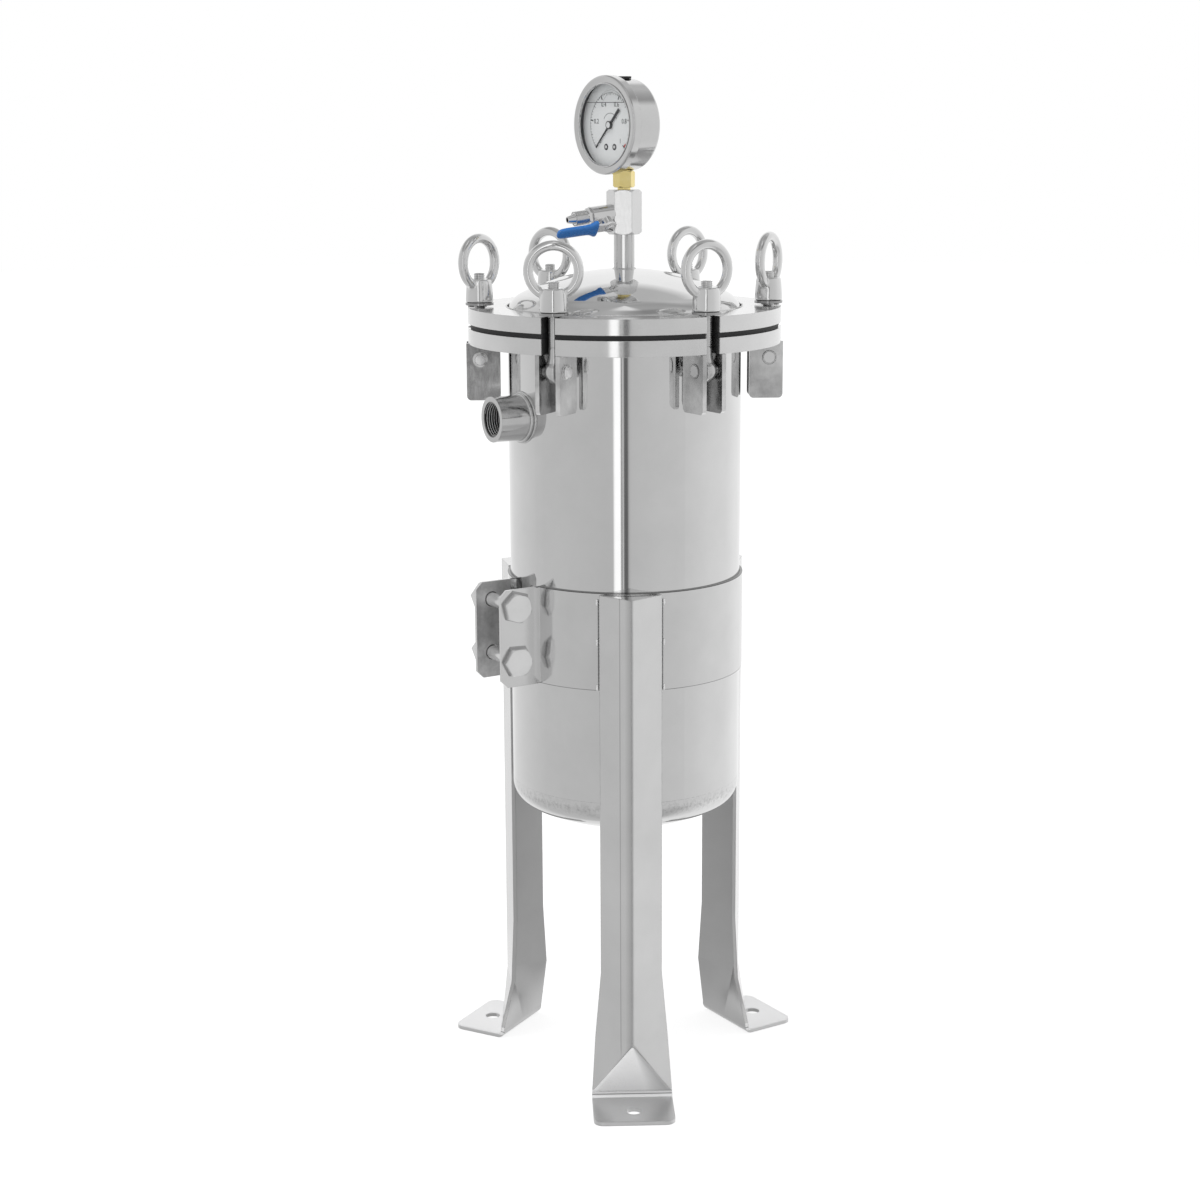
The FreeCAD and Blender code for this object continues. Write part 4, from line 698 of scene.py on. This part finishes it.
# ---- swing bolts
def swing_bolts():
    """Bolts with rolled threads, turned shanks and round-shouldered eyes."""
    rod_top = level("swing_bolt_1")
    profile = [(3.95, PIVOT + 5.5), (3.95, PIVOT + 15.0), (3.45, PIVOT + 15.8), (3.3, PIVOT + 16.5),
               (3.3, rod_top - 0.4), (2.9, rod_top), (0.0, rod_top)]
    eye_profile = [(4.06, -4.4), (5.6, -4.4), (6.9, -3.7), (7.7, -2.2), (8.0, 0.0), (7.7, 2.2), (6.9, 3.7),
                   (5.6, 4.4), (4.06, 4.4)]
    for index, angle in enumerate(BOLT_STATIONS, start=1):
        place = turn_z(angle) @ shift(0, -BOLT_CIRCLE, 0)
        eye = spin(eye_profile, 40, closed=True)
        neck = spin([(6.0, PIVOT + 4.5), (5.0, PIVOT + 7.0), (4.3, PIVOT + 9.0), (3.96, PIVOT + 11.0)], 32)
        eye_turn = shift(0, 0, PIVOT) @ tilt(90, "Y")
        vertices, faces = merge((*eye, eye_turn), neck, spin(profile, 32),
                                helix(3.32, 3.94, 1.25, PIVOT + 16.0, rod_top - 0.5))
        bolt = piece(f"swing_bolt_threaded_{index}", vertices, faces, f"bolt_{index}",
                     "thread", "bright_steel", place)
        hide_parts(f"swing_bolt_{index}")


swing_bolts()


# ---- eye nuts
def forged_nut_mesh():
    """One nut with its ring grown out of the barrel like a forging."""
    around, across = 96, 28
    middle, thick = 17.0, 3.5
    ring = []
    for angle in circle(around):
        for bend in circle(across):
            reach = middle + thick * cos(bend)
            ring.append((reach * sin(angle), thick * sin(bend),
                         RING_LEVEL + reach * cos(angle)))
    base = NUT_BOTTOM
    barrel = spin([(0.0, base), (9.0, base), (9.9, base + 0.8), (9.7, base + 5.0), (9.1, base + 13.0),
                   (8.6, base + 15.8), (7.6, base + 16.5), (0.0, base + 16.5)], 64)
    vertices, faces = merge((ring, lathe_faces(around, across, True)), barrel)
    mesh = bpy.data.meshes.new("forged_nut")
    mesh.from_pydata([Vector(vertex) * MM for vertex in vertices], [], faces)
    mesh.validate()
    obj = new_object("forged_nut_pattern", mesh)
    remesh = obj.modifiers.new("remesh", "REMESH")
    remesh.mode = "VOXEL"
    remesh.voxel_size = 0.00055
    smooth = obj.modifiers.new("smooth", "SMOOTH")
    smooth.factor = 0.5
    smooth.iterations = 7
    return bake(obj)


def eye_nuts():
    pattern = forged_nut_mesh()
    for index, (angle, turn) in enumerate(zip(BOLT_STATIONS, RING_TURNS), start=1):
        mesh = pattern.copy()
        mesh.name = f"eye_nut_forged_{index}"
        turned = radians(angle)
        spot = shift(BOLT_CIRCLE * MM * sin(turned), -BOLT_CIRCLE * MM * cos(turned), 0.0)
        mesh.transform(spot @ turn_z(turn))
        mesh.polygons.foreach_set("use_smooth", [True] * len(mesh.polygons))
        mesh.materials.clear()
        mesh.materials.append(MATERIALS["forged"])
        nut = new_object(f"eye_nut_forged_{index}", mesh)
        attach(nut, f"nut_{index}")
        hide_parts(f"eye_nut_{index}")


eye_nuts()


# ---- threads
def crest_ribbon(radius, pitch, low, high, segments=96, flat=(0.34, 0.66)):
    """The crest of an internal thread: a ribbon that winds up the bore."""
    vertices = []
    steps = int((high - low) / pitch * segments)
    for step, angle in enumerate(circle(segments, steps + 1)):
        for rise in flat:
            height = low + pitch * (step / segments + rise - 0.5)
            vertices.append(polar(radius, angle, min(max(height, low), high)))
    faces = [(2 * step, 2 * step + 2, 2 * step + 3, 2 * step + 1) for step in range(steps)]
    return vertices, faces


def port_threads():
    """The taper thread that shows in the mouth of each port: dark steel for painted shade in the bore, and a
    bright ribbon on its crest for a painted highlight.
    """
    root, crest, pitch = 12.55, 11.5, 1.814
    inlet = turn_z(INLET_STATION) @ shift(0, 0, INLET_LEVEL) @ tilt(90, "X")
    bottom = level("outlet_coupling", False)
    ports = (("inlet", 84.0, 106.6, inlet), ("outlet", bottom + 0.4, bottom + 22.0, None))
    for name, low, high, place in ports:
        thread = helix(root, crest, pitch, low, high, 96, (0.36, 0.64))
        piece(f"{name}_thread", *thread, "vessel", "thread_root", "polished_steel", place, False)
        ribbon = crest_ribbon(crest - 0.04, pitch, low, high)
        # Painted highlight: a bright ribbon along the thread's crest.
        piece(f"{name}_thread_crest", *ribbon, "vessel", "peened", "polished_steel", place)


def riser():
    """The riser: a drawn tube with one narrow polished flat along it."""
    low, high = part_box("riser_pipe")
    outer = (high[0] - low[0]) / 2 / MM
    inner = outer - 2.0
    bottom, top = low[2] / MM, high[2] / MM
    angles = [step * 1.5 for step in range(240) if not 1.0 <= (step * 1.5 + 13.5) % 360.0 <= 14.0]
    vertices = []
    for radius, height in ((outer, bottom), (outer, top), (inner, top), (inner, bottom)):
        for turn in map(radians, angles):
            vertices.append((radius * sin(turn), -radius * cos(turn), height))
    faces = tube_faces(4, len(angles), closed=True)
    tube = piece("riser_tube", vertices, faces, "lid", "riser", "polished_steel", None, False)
    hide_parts("riser_pipe")


riser()


def nipple_thread():
    thread = helix(4.55, 5.05, 1.0, 30.6, 39.4, 40)
    piece("vent_nipple_thread", *thread, "lid", "thread", "bright_steel", valve_place() @ tilt(90, "X"))


def clamp_threads():
    """Threads on the ends of the clamp bolts, past their nuts."""
    for index, lift in enumerate((CLAMP_LIFT, -CLAMP_LIFT), start=1):
        thread = helix(4.95, 5.25, 1.5, 28.6, 30.8, 32)
        piece(f"clamp_bolt_thread_{index}", *thread, "stand", "thread", "bright_steel", clamp_place(lift))


port_threads()
nipple_thread()
clamp_threads()


# ---- welds
def saddle(radius, reach, count):
    """A ring round the inlet that lies on a wall at the given distance from the vessel's axis."""
    points = []
    for angle in circle(count):
        across = radius * sin(angle)
        points.append((across, -sqrt(reach ** 2 - across ** 2), INLET_LEVEL + radius * cos(angle)))
    return points


def pin_ring(across, radius):
    """A ring about a clevis pin, at a distance along it from the bolt's axis."""
    return [(across, -BOLT_CIRCLE + radius * sin(angle), PIVOT + radius * cos(angle))
            for angle in circle(24)]


def welds():
    """Weld beads where the real pieces are joined, the clevis pins' heads, and dark rings of painted shade
    round the pins' ends.
    """
    def add(name, body, *beads, look="weld"):
        piece(name, *merge(*beads), body, look, "polished_steel")

    inlet = turn_z(INLET_STATION)
    add("riser_weld", "lid", bead(ring_points(7.6, APEX - 0.1, 48), 0.8, True, 0.2, 1.4, 3))
    add("dome_weld", "lid", bead(ring_points(84.0, LID_TOP + 0.1, 160), 0.55, True, 0.15, 1.8, 4))
    add("flange_weld", "vessel", bead(ring_points(84.2, FLANGE_BOTTOM - 0.2, 160), 0.9, True, 0.2, 1.8, 5))
    add("pad_weld", "vessel", (*bead(saddle(17.9, 83.9, 64), 0.6, True, 0.05, 2.4, 6), inlet))
    add("inlet_weld", "vessel", (*bead(saddle(16.5, 85.8, 56), 0.9, True, 0.04, 2.6, 7), inlet))
    lugs, pins, heads, rings = [], [], [], []
    for index, station in enumerate(BOLT_STATIONS):
        place = turn_z(station)
        for across in (-LUG_WELD, LUG_WELD):
            line = [(across, reach, FLANGE_BOTTOM - 0.1) for reach in (-89.0, -110.6)]
            lugs.append((*bead(line, 1.3, False, 0.25, 2.2, 20 + index), place))
        pins.append((*bead(pin_ring(-9.65, 4.5), 0.55, True, 0.35, 1.5, 40 + index), place))
        cap = spin([(0.0, 3.1), (1.6, 2.95), (3.2, 2.5), (4.5, 1.7), (5.2, 0.8), (5.35, 0.0)], 32)
        heads.append((*cap, place @ shift(9.5, -BOLT_CIRCLE, PIVOT) @ tilt(90, "Y")))
        # Dark rings round the pins' ends: painted shade in the gap round each pin.
        rings.append((*bead(pin_ring(-9.6, 4.7), 0.45, True, 0.05, 1.5, 50), place))
    piece("pin_heads", *merge(*heads), "vessel", "peened", "bright_steel")
    add("lug_welds", "vessel", *lugs)
    add("pin_welds", "vessel", *pins)
    add("pin_shade_rings", "vessel", *rings, look="thread_root")
    low, high = level("clamp_band", False), level("clamp_band")
    seams, tacks = [], []
    for index, station in enumerate(LEG_STATIONS):
        place = turn_z(station)
        for side in (-1, 1):
            across = side * LEG_EDGE
            reach = -sqrt(BAND_REACH ** 2 - across ** 2)
            line = [(across, reach, low + 1.0), (across, reach, high - 4.5)]
            seams.append((*bead(line, 0.42, False, 0.5, 2.6, 60 + index * 2 + side), place))
            for number, height in enumerate((low + 2.5, (low + high) / 2, high - 6.5)):
                spot = [(across + side * 0.7, reach - 0.2, height + end) for end in (-2.2, 2.2)]
                tacks.append((*bead(spot, 1.0, False, 0.3, 1.6, 80 + index * 6 + number), place))
    add("leg_seams", "stand", *seams, look="washer")
    add("leg_welds", "stand", *tacks, look="peened")


welds()


def leg_flares():
    """The pressed web that closes each leg's fold above its foot: a shallow crowned triangle."""
    rows, columns = 20, 20
    apex, inset, slope, crown_height = 0.03, -103.75, 9.5, 1.5
    size = columns + 1
    layer = (rows + 1) * size
    vertices = []
    for lift in (0.3, -0.4):
        for row in range(rows + 1):
            down = apex + (1.0 - apex) * row / rows
            for column in range(columns + 1):
                across = 2.0 * column / columns - 1.0
                crown = crown_height * (1.0 - across ** 2) * 4.0 * down * (1.0 - down) if lift > 0 else 0.0
                vertices.append((WEB_HALF_WIDTH * down * across, inset + slope * down - lift - crown,
                                 WEB_TOP - (WEB_TOP - WEB_FOOT) * down))
    faces = []
    for row in range(rows):
        for column in range(columns):
            here = row * size + column
            faces.append((here, here + size, here + size + 1, here + 1))
            faces.append((layer + here, layer + here + 1, layer + here + size + 1, layer + here + size))
    ring = ([*range(columns)] + [row * size + columns for row in range(rows)]
            + [rows * size + column for column in range(columns, 0, -1)]
            + [row * size for row in range(rows, 0, -1)])
    faces += [(here, ahead, layer + ahead, layer + here) for here, ahead in zip(ring, ring[1:] + ring[:1])]
    webs = merge(*((vertices, faces, turn_z(station)) for station in LEG_STATIONS))
    piece("leg_webs", *webs, "stand", "flare", "polished_steel")


leg_flares()


def clamp_head_painted_shadows():
    """A thin dark plate under each hexagon head of the clamp: painted shadow round the head."""
    faces = [tuple(range(6)), tuple(reversed(range(6, 12)))]
    faces += [(step, step + 6, (step + 1) % 6 + 6, (step + 1) % 6) for step in range(6)]
    plates = []
    for lift, turn in ((CLAMP_LIFT, 46.8), (-CLAMP_LIFT, 33.0)):
        corners = [radians(turn + 60 * step) for step in range(6)]
        vertices = [polar(12.25, angle, height) for height in (-18.75, -19.3) for angle in corners]
        plates.append((vertices, faces, clamp_place(lift)))
    piece("clamp_head_shadow_plates", *merge(*plates), "stand", "washer", "bright_steel", None, False)


clamp_head_painted_shadows()


# ---- gauge dial
# Heights along the gauge's axis and the dial's two screws, in mm; half of the scale's sweep, in degrees
FACE = 12.2 + 0.04
WINDOW = 14.3
SCREWS = ((-4.6, -15.0), (4.6, -15.0))
DIAL_SWEEP = 135.0


def flat_bar(inner, outer, half_width, angle, height=FACE, thick=0.05):
    """One mark on the dial; the angle runs clockwise from the top."""
    turn = turn_z(-angle)
    vertices = []
    for z in (height, height + thick):
        for x, y in ((-half_width, inner), (half_width, inner), (half_width, outer), (-half_width, outer)):
            vertices.append(tuple(turn @ Vector((x, y, z))))
    faces = [(4, 5, 6, 7), (0, 1, 5, 4), (1, 2, 6, 5), (2, 3, 7, 6), (3, 0, 4, 7)]
    return vertices, faces


def arc_band(inner, outer, start, end, height=FACE, thick=0.05, steps=48):
    vertices, faces = [], []
    for step in range(steps + 1):
        angle = radians(start + (end - start) * step / steps)
        for radius in (inner, outer):
            for z in (height, height + thick):
                vertices.append((radius * sin(angle), radius * cos(angle), z))
    for step in range(steps):
        here = step * 4
        ahead = here + 4
        faces += [(here + 1, here + 3, ahead + 3, ahead + 1), (here, here + 1, ahead + 1, ahead),
                  (here + 3, here + 2, ahead + 2, ahead + 3)]
    return vertices, faces


def lettering(name, words, size, x, y):
    """Plain figures printed on the dial."""
    curve = bpy.data.curves.new(name, "FONT")
    curve.body = words
    curve.size = size * MM
    curve.align_x = curve.align_y = "CENTER"
    curve.extrude = 0.00002
    mesh = bake(new_object(name + "_curve", curve))
    place = gauge_place()
    place.translation = place.translation * MM
    mesh.transform(place @ shift(x * MM, y * MM, (FACE + 0.02) * MM))
    mesh.materials.clear()
    mesh.materials.append(MATERIALS["ink"])
    obj = new_object(name, mesh)
    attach(obj, "lid")


def gauge_details():
    """Ticks, figures, limit mark and screws on the dial, the pointer's cap, and the window's rolled rim."""
    place = gauge_place()
    marks = []
    for step in range(51):
        angle = -DIAL_SWEEP + 2 * DIAL_SWEEP * step / 50
        inner, half_width = (19.4, 0.42) if step % 10 == 0 else (20.4, 0.22) if step % 5 == 0 else (21.0, 0.12)
        marks.append(flat_bar(inner, 22.2, half_width, angle))
    marks.append(arc_band(22.1, 22.3, -DIAL_SWEEP, DIAL_SWEEP))
    marks.append(arc_band(8.0, 8.3, -60.0, 60.0))
    piece("dial_scale", *merge(*marks), "lid", "ink", "dial_face", place)
    piece("dial_limit_mark", *arc_band(20.6, 21.9, 127.0, DIAL_SWEEP), "lid", "red_ink", "dial_face", place)
    for figure, words in enumerate(("0", "0.2", "0.4", "0.6", "0.8", "1")):
        angle = radians(-DIAL_SWEEP + 54 * figure)
        lettering(f"dial_figure_{figure}", words, 4.6, 15.6 * sin(angle), 15.6 * cos(angle))
    spots = [shift(x, y, FACE) for x, y in SCREWS]
    head = spin([(0.0, 0.62), (0.7, 0.6), (1.15, 0.45), (1.3, 0.2)], 28)
    piece("dial_screws", *merge(*((*head, spot) for spot in spots)), "lid", "bright", "bright_steel", place)
    ring = spin([(1.2, 0.05), (1.25, 0.28), (1.9, 0.3), (2.2, 0.05)], 28)
    piece("dial_screw_rings", *merge(*((*ring, spot) for spot in spots)), "lid", "ink", "bright_steel", place)
    cap = spin([(0.0, 14.58), (0.8, 14.57), (1.5, 14.5), (2.05, 14.4), (2.1, 14.28)], 36)
    piece("pointer_cap", *cap, "pointer", "satin", "black_metal", place)
    rim = [(28.05, 18.1), (28.1, 18.5), (28.5, 18.75), (28.9, 18.6), (28.9, 18.4)]
    piece("bezel_rolled_edge", *spin(rim, 120), "lid", "bright", "gauge_steel", place)
    # Thin metal arcs on the window: painted reflections on the liquid's surface.
    arcs = [(*arc_band(16.1, 16.35, -55.0, 62.0, WINDOW + 0.02, 0.04), shift(3.0, 7.6, 0.0)),
            (*arc_band(12.0, 12.2, -58.0, 60.0, WINDOW + 0.02, 0.04), shift(5.0, 9.8, 0.0))]
    piece("liquid_reflection_arcs", *merge(*arcs), "lid", "port", "gauge_steel", place)
    # A black band inside the case wall: painted shade between the bezel and the dial.
    inner = spin([(30.3, 12.3), (30.3, 14.6)], 96)
    piece("case_inner_shade", *inner, "lid", "ink", "gauge_steel", place)
    half = sqrt(27.9 ** 2 - 15.4 ** 2)
    line = [(-half, 15.2, WINDOW), (half, 15.2, WINDOW), (half, 15.6, WINDOW), (-half, 15.6, WINDOW)]
    piece("liquid_line", line, [(0, 1, 2, 3)], "lid", "ink", "gauge_steel", place, False)


gauge_details()


# ---- lever grip
def lever_sleeve():
    """A dipped vinyl sleeve: a flared mouth, a slim waist and a rounded end."""
    centre_x = 10.2 + 0.3 + 0.8
    start = -LEVER_SCREW - 10.0
    end = -LEVER_SCREW - 39.7 - 1.4
    # Distance from the mouth, half width, half thickness and the share of it that is kept
    rows = [(0.0, 6.5, 2.2, 0.7), (0.2, 7.1, 2.6, 1.0), (1.6, 7.2, 2.8, 1.0), (3.0, 6.6, 2.6, 1.0),
            (5.0, 5.0, 2.3, 1.0), (7.4, 4.45, 2.1, 1.0), (14.0, 4.5, 2.05, 1.0), (22.0, 4.5, 2.05, 1.0),
            (27.0, 4.4, 2.0, 1.0), (29.2, 3.9, 1.85, 0.95), (30.5, 2.9, 1.5, 0.9), (31.1, 1.4, 0.8, 0.8)]
    length = start - end
    sides = 28
    vertices = []
    for along, wide, thick, share in rows:
        y = start - along * length / rows[-1][0]
        for angle in circle(sides):
            c, s = cos(angle), sin(angle)
            z = wide * copysign(abs(c) ** 0.75, c)
            x = centre_x + thick * share * copysign(abs(s) ** 0.7, s)
            vertices.append((x, y, z))
    last = len(vertices) - sides
    faces = tube_faces(len(rows), sides)
    faces.append(tuple(range(last, last + sides)))
    faces.append(tuple(reversed(range(sides))))
    sleeve = piece("lever_sleeve", vertices, faces, "vent_lever", "vinyl", "blue_vinyl", valve_place())
    subdivide = sleeve.modifiers.new("subdivide", "SUBSURF")
    subdivide.levels = subdivide.render_levels = 2
    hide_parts("lever_grip")


lever_sleeve()


def lever_screw_details():
    """A darker washer under the lever's screw, painted shade round its head, and the slot in its head, a black
    bar of painted shade.
    """
    place = valve_place() @ shift(0, -LEVER_SCREW, 0) @ tilt(90, "Y")
    washer = spin([(2.2, 12.12), (3.5, 12.14), (3.7, 12.3), (3.6, 12.5), (2.2, 12.52)], 40)
    piece("lever_screw_shade_ring", *washer, "vent_lever", "thread", "bright_steel", place)
    # The slot is a black bar on the head: painted shade in the slot.
    slot = flat_bar(-2.2, 2.2, 0.42, 38.0, 13.86, 0.06)
    piece("lever_screw_slot", *slot, "vent_lever", "ink", "bright_steel", place, False)


lever_screw_details()


# ---- filter bag
def filter_sleeve():
    """The felt bag: a slightly gathered sleeve that bulges to a rounded bottom, open at the top."""
    low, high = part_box("filter_bag")
    bottom, top = low[2] / MM + 0.4, high[2] / MM
    radius = (high[0] - low[0]) / 2 / MM - 0.5
    rows, around = 46, 96
    corner, thick, bend_end = 22.0, 1.6, 0.12
    vertices, faces = [], []
    for inside in (0, 1):
        first = len(vertices)
        for row in range(rows + 1):
            share = row / rows
            if share < bend_end:
                bend = share / bend_end * pi / 2
                reach = radius - corner + corner * sin(bend) if row else 0.6
                height = bottom + corner - corner * cos(bend)
            else:
                reach = radius
                height = bottom + corner + (top - bottom - corner) * (share - bend_end) / (1.0 - bend_end)
            height += thick * inside * (share < bend_end)
            for angle in circle(around):
                gather = 0.5 * (1.0 + sin(9 * angle + 2.0 * sin(3.0 * share + 5)))
                gather *= min(1.0, 3.0 * (1 - share))
                here = max(0.3, reach - 1.1 * gather - thick * inside)
                vertices.append(polar(here, angle, height))
        wall = tube_faces(rows + 1, around, first=first)
        floor = range(first, first + around)
        faces += [tuple(reversed(face)) for face in wall] if inside else wall
        faces.append(tuple(floor) if inside else tuple(reversed(floor)))
    outer_top, inner_top = rows * around, (2 * rows + 1) * around
    for step in range(around):
        following = (step + 1) % around
        faces.append((outer_top + step, outer_top + following, inner_top + following, inner_top + step))
    bag = piece("filter_bag_felt", vertices, faces, "vessel", "felt", "white_felt")
    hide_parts("filter_bag")


filter_sleeve()


# ---- floor, world and lamps
def add_floor():
    count = 96
    vertices = [polar(9.0, angle, -0.0003) for angle in circle(count)]
    mesh = bpy.data.meshes.new("studio_floor")
    mesh.from_pydata(vertices, [], [tuple(range(count))])
    material, graph, shader, output = new_material("floor_paint")
    cloud = graph.noise(3.0, 3.0, 0.5)
    graph.fill(shader, Base_Color=graph.mix_colour(cloud, grey(0.86), grey(0.88)), Roughness=0.9,
               Specular_IOR_Level=0.0)
    glow = graph.add("ShaderNodeEmission")
    soft = graph.add("ShaderNodeBsdfDiffuse")
    graph.fill(soft, Color=grey(0.42))
    graph.fill(glow, Strength=0.76)
    both = graph.add("ShaderNodeAddShader")
    graph.link(glow.outputs[0], both.inputs[0])
    graph.link(soft.outputs[0], both.inputs[1])
    camera_ray = graph.add("ShaderNodeLightPath").outputs["Is Camera Ray"]
    graph.blend(camera_ray, shader, both, output)
    mesh.materials.append(material)
    floor = new_object("studio_floor", mesh)
    floor.visible_glossy = False


def add_world():
    """A light tent: white to the camera, grey panels with one bright and one dark strip to the metal."""
    world = bpy.data.worlds.new("light_tent")
    world.use_nodes = True
    bpy.context.scene.world = world
    graph = Graph(world.node_tree)
    output = graph.add("ShaderNodeOutputWorld")
    parts = graph.split(graph.add("ShaderNodeTexCoord").outputs["Generated"])
    around = graph.math("ARCTAN2", parts["X"], graph.product(parts["Y"], -1.0))
    turn = graph.math("ADD", graph.math("DIVIDE", around, 2 * pi), 0.5)

    def strip(*stops):
        """A shade that changes with the bearing in degrees."""
        return graph.ramp(turn, [(degrees / 360.0 + 0.5, shade) for degrees, shade in stops])

    panels = strip(
        (-180, 0.98), (-150, 0.80), (-115, 0.69), (-90, 0.61), (-20, 0.57), (-13.5, 0.58),
        (-12.5, 1.30), (-6.4, 1.30), (-5.7, 0.20), (-4.7, 0.20), (-4.2, 0.75), (-3.5, 0.75),
        (-2.9, 0.15), (0.4, 0.14), (1.6, 0.55), (4, 0.59), (30, 0.63), (50, 0.65),
        (68, 0.71), (90, 0.78), (117, 0.83), (136, 0.92), (180, 0.98))
    coving = strip(
        (-180, 0.50), (-150, 0.36), (-60, 0.36), (-40, 0.42), (-15, 0.50), (5, 0.36),
        (25, 0.27), (50, 0.30), (75, 0.50), (100, 0.36), (140, 0.60), (180, 0.50))
    ceiling = strip(
        (-180, 0.44), (-60, 0.42), (-30, 0.44), (-12, 0.80), (10, 0.86), (28, 0.42),
        (120, 0.38), (180, 0.44))
    table = strip(
        (-180, 0.90), (-150, 0.85), (-120, 0.60), (-75, 0.56), (-50, 0.50), (-20, 0.62),
        (20, 0.60), (55, 0.48), (80, 0.72), (110, 0.90), (180, 0.92))

    def over(low, high):
        return graph.remap(parts["Z"], 0.0, 1.0, sin(radians(low)), sin(radians(high)))

    light = graph.mix_colour(over(-20, -28), panels, table)
    light = graph.mix_colour(over(36, 44), light, coving)
    light = graph.mix_colour(over(58, 68), light, ceiling)
    path = graph.add("ShaderNodeLightPath")
    plain = graph.mix_colour(path.outputs["Is Diffuse Ray"], light, (0.78, 0.78, 0.785, 1.0))
    seen = graph.math("MAXIMUM", path.outputs["Is Camera Ray"], path.outputs["Is Transmission Ray"])
    tent = graph.add("ShaderNodeBackground")
    graph.fill(tent, Color=graph.mix_colour(seen, plain, grey(1.0)))
    graph.link(tent.outputs[0], output.inputs["Surface"])


def add_lamp(name, place, aim, size, power):
    data = bpy.data.lights.new(name, "AREA")
    data.shape = "RECTANGLE"
    data.size, data.size_y = size
    data.energy = power
    lamp = new_object(name, data)
    lamp.location = place
    lamp.rotation_euler = (Vector(aim) - Vector(place)).to_track_quat("-Z", "Y").to_euler()
    lamp.visible_glossy = False


add_floor()
add_world()
add_lamp("top_softbox", (-0.4, -0.5, 2.4), (0.0, 0.0, 0.4), (1.6, 1.6), 14.0)
bpy.context.scene.view_settings.view_transform = "Standard"
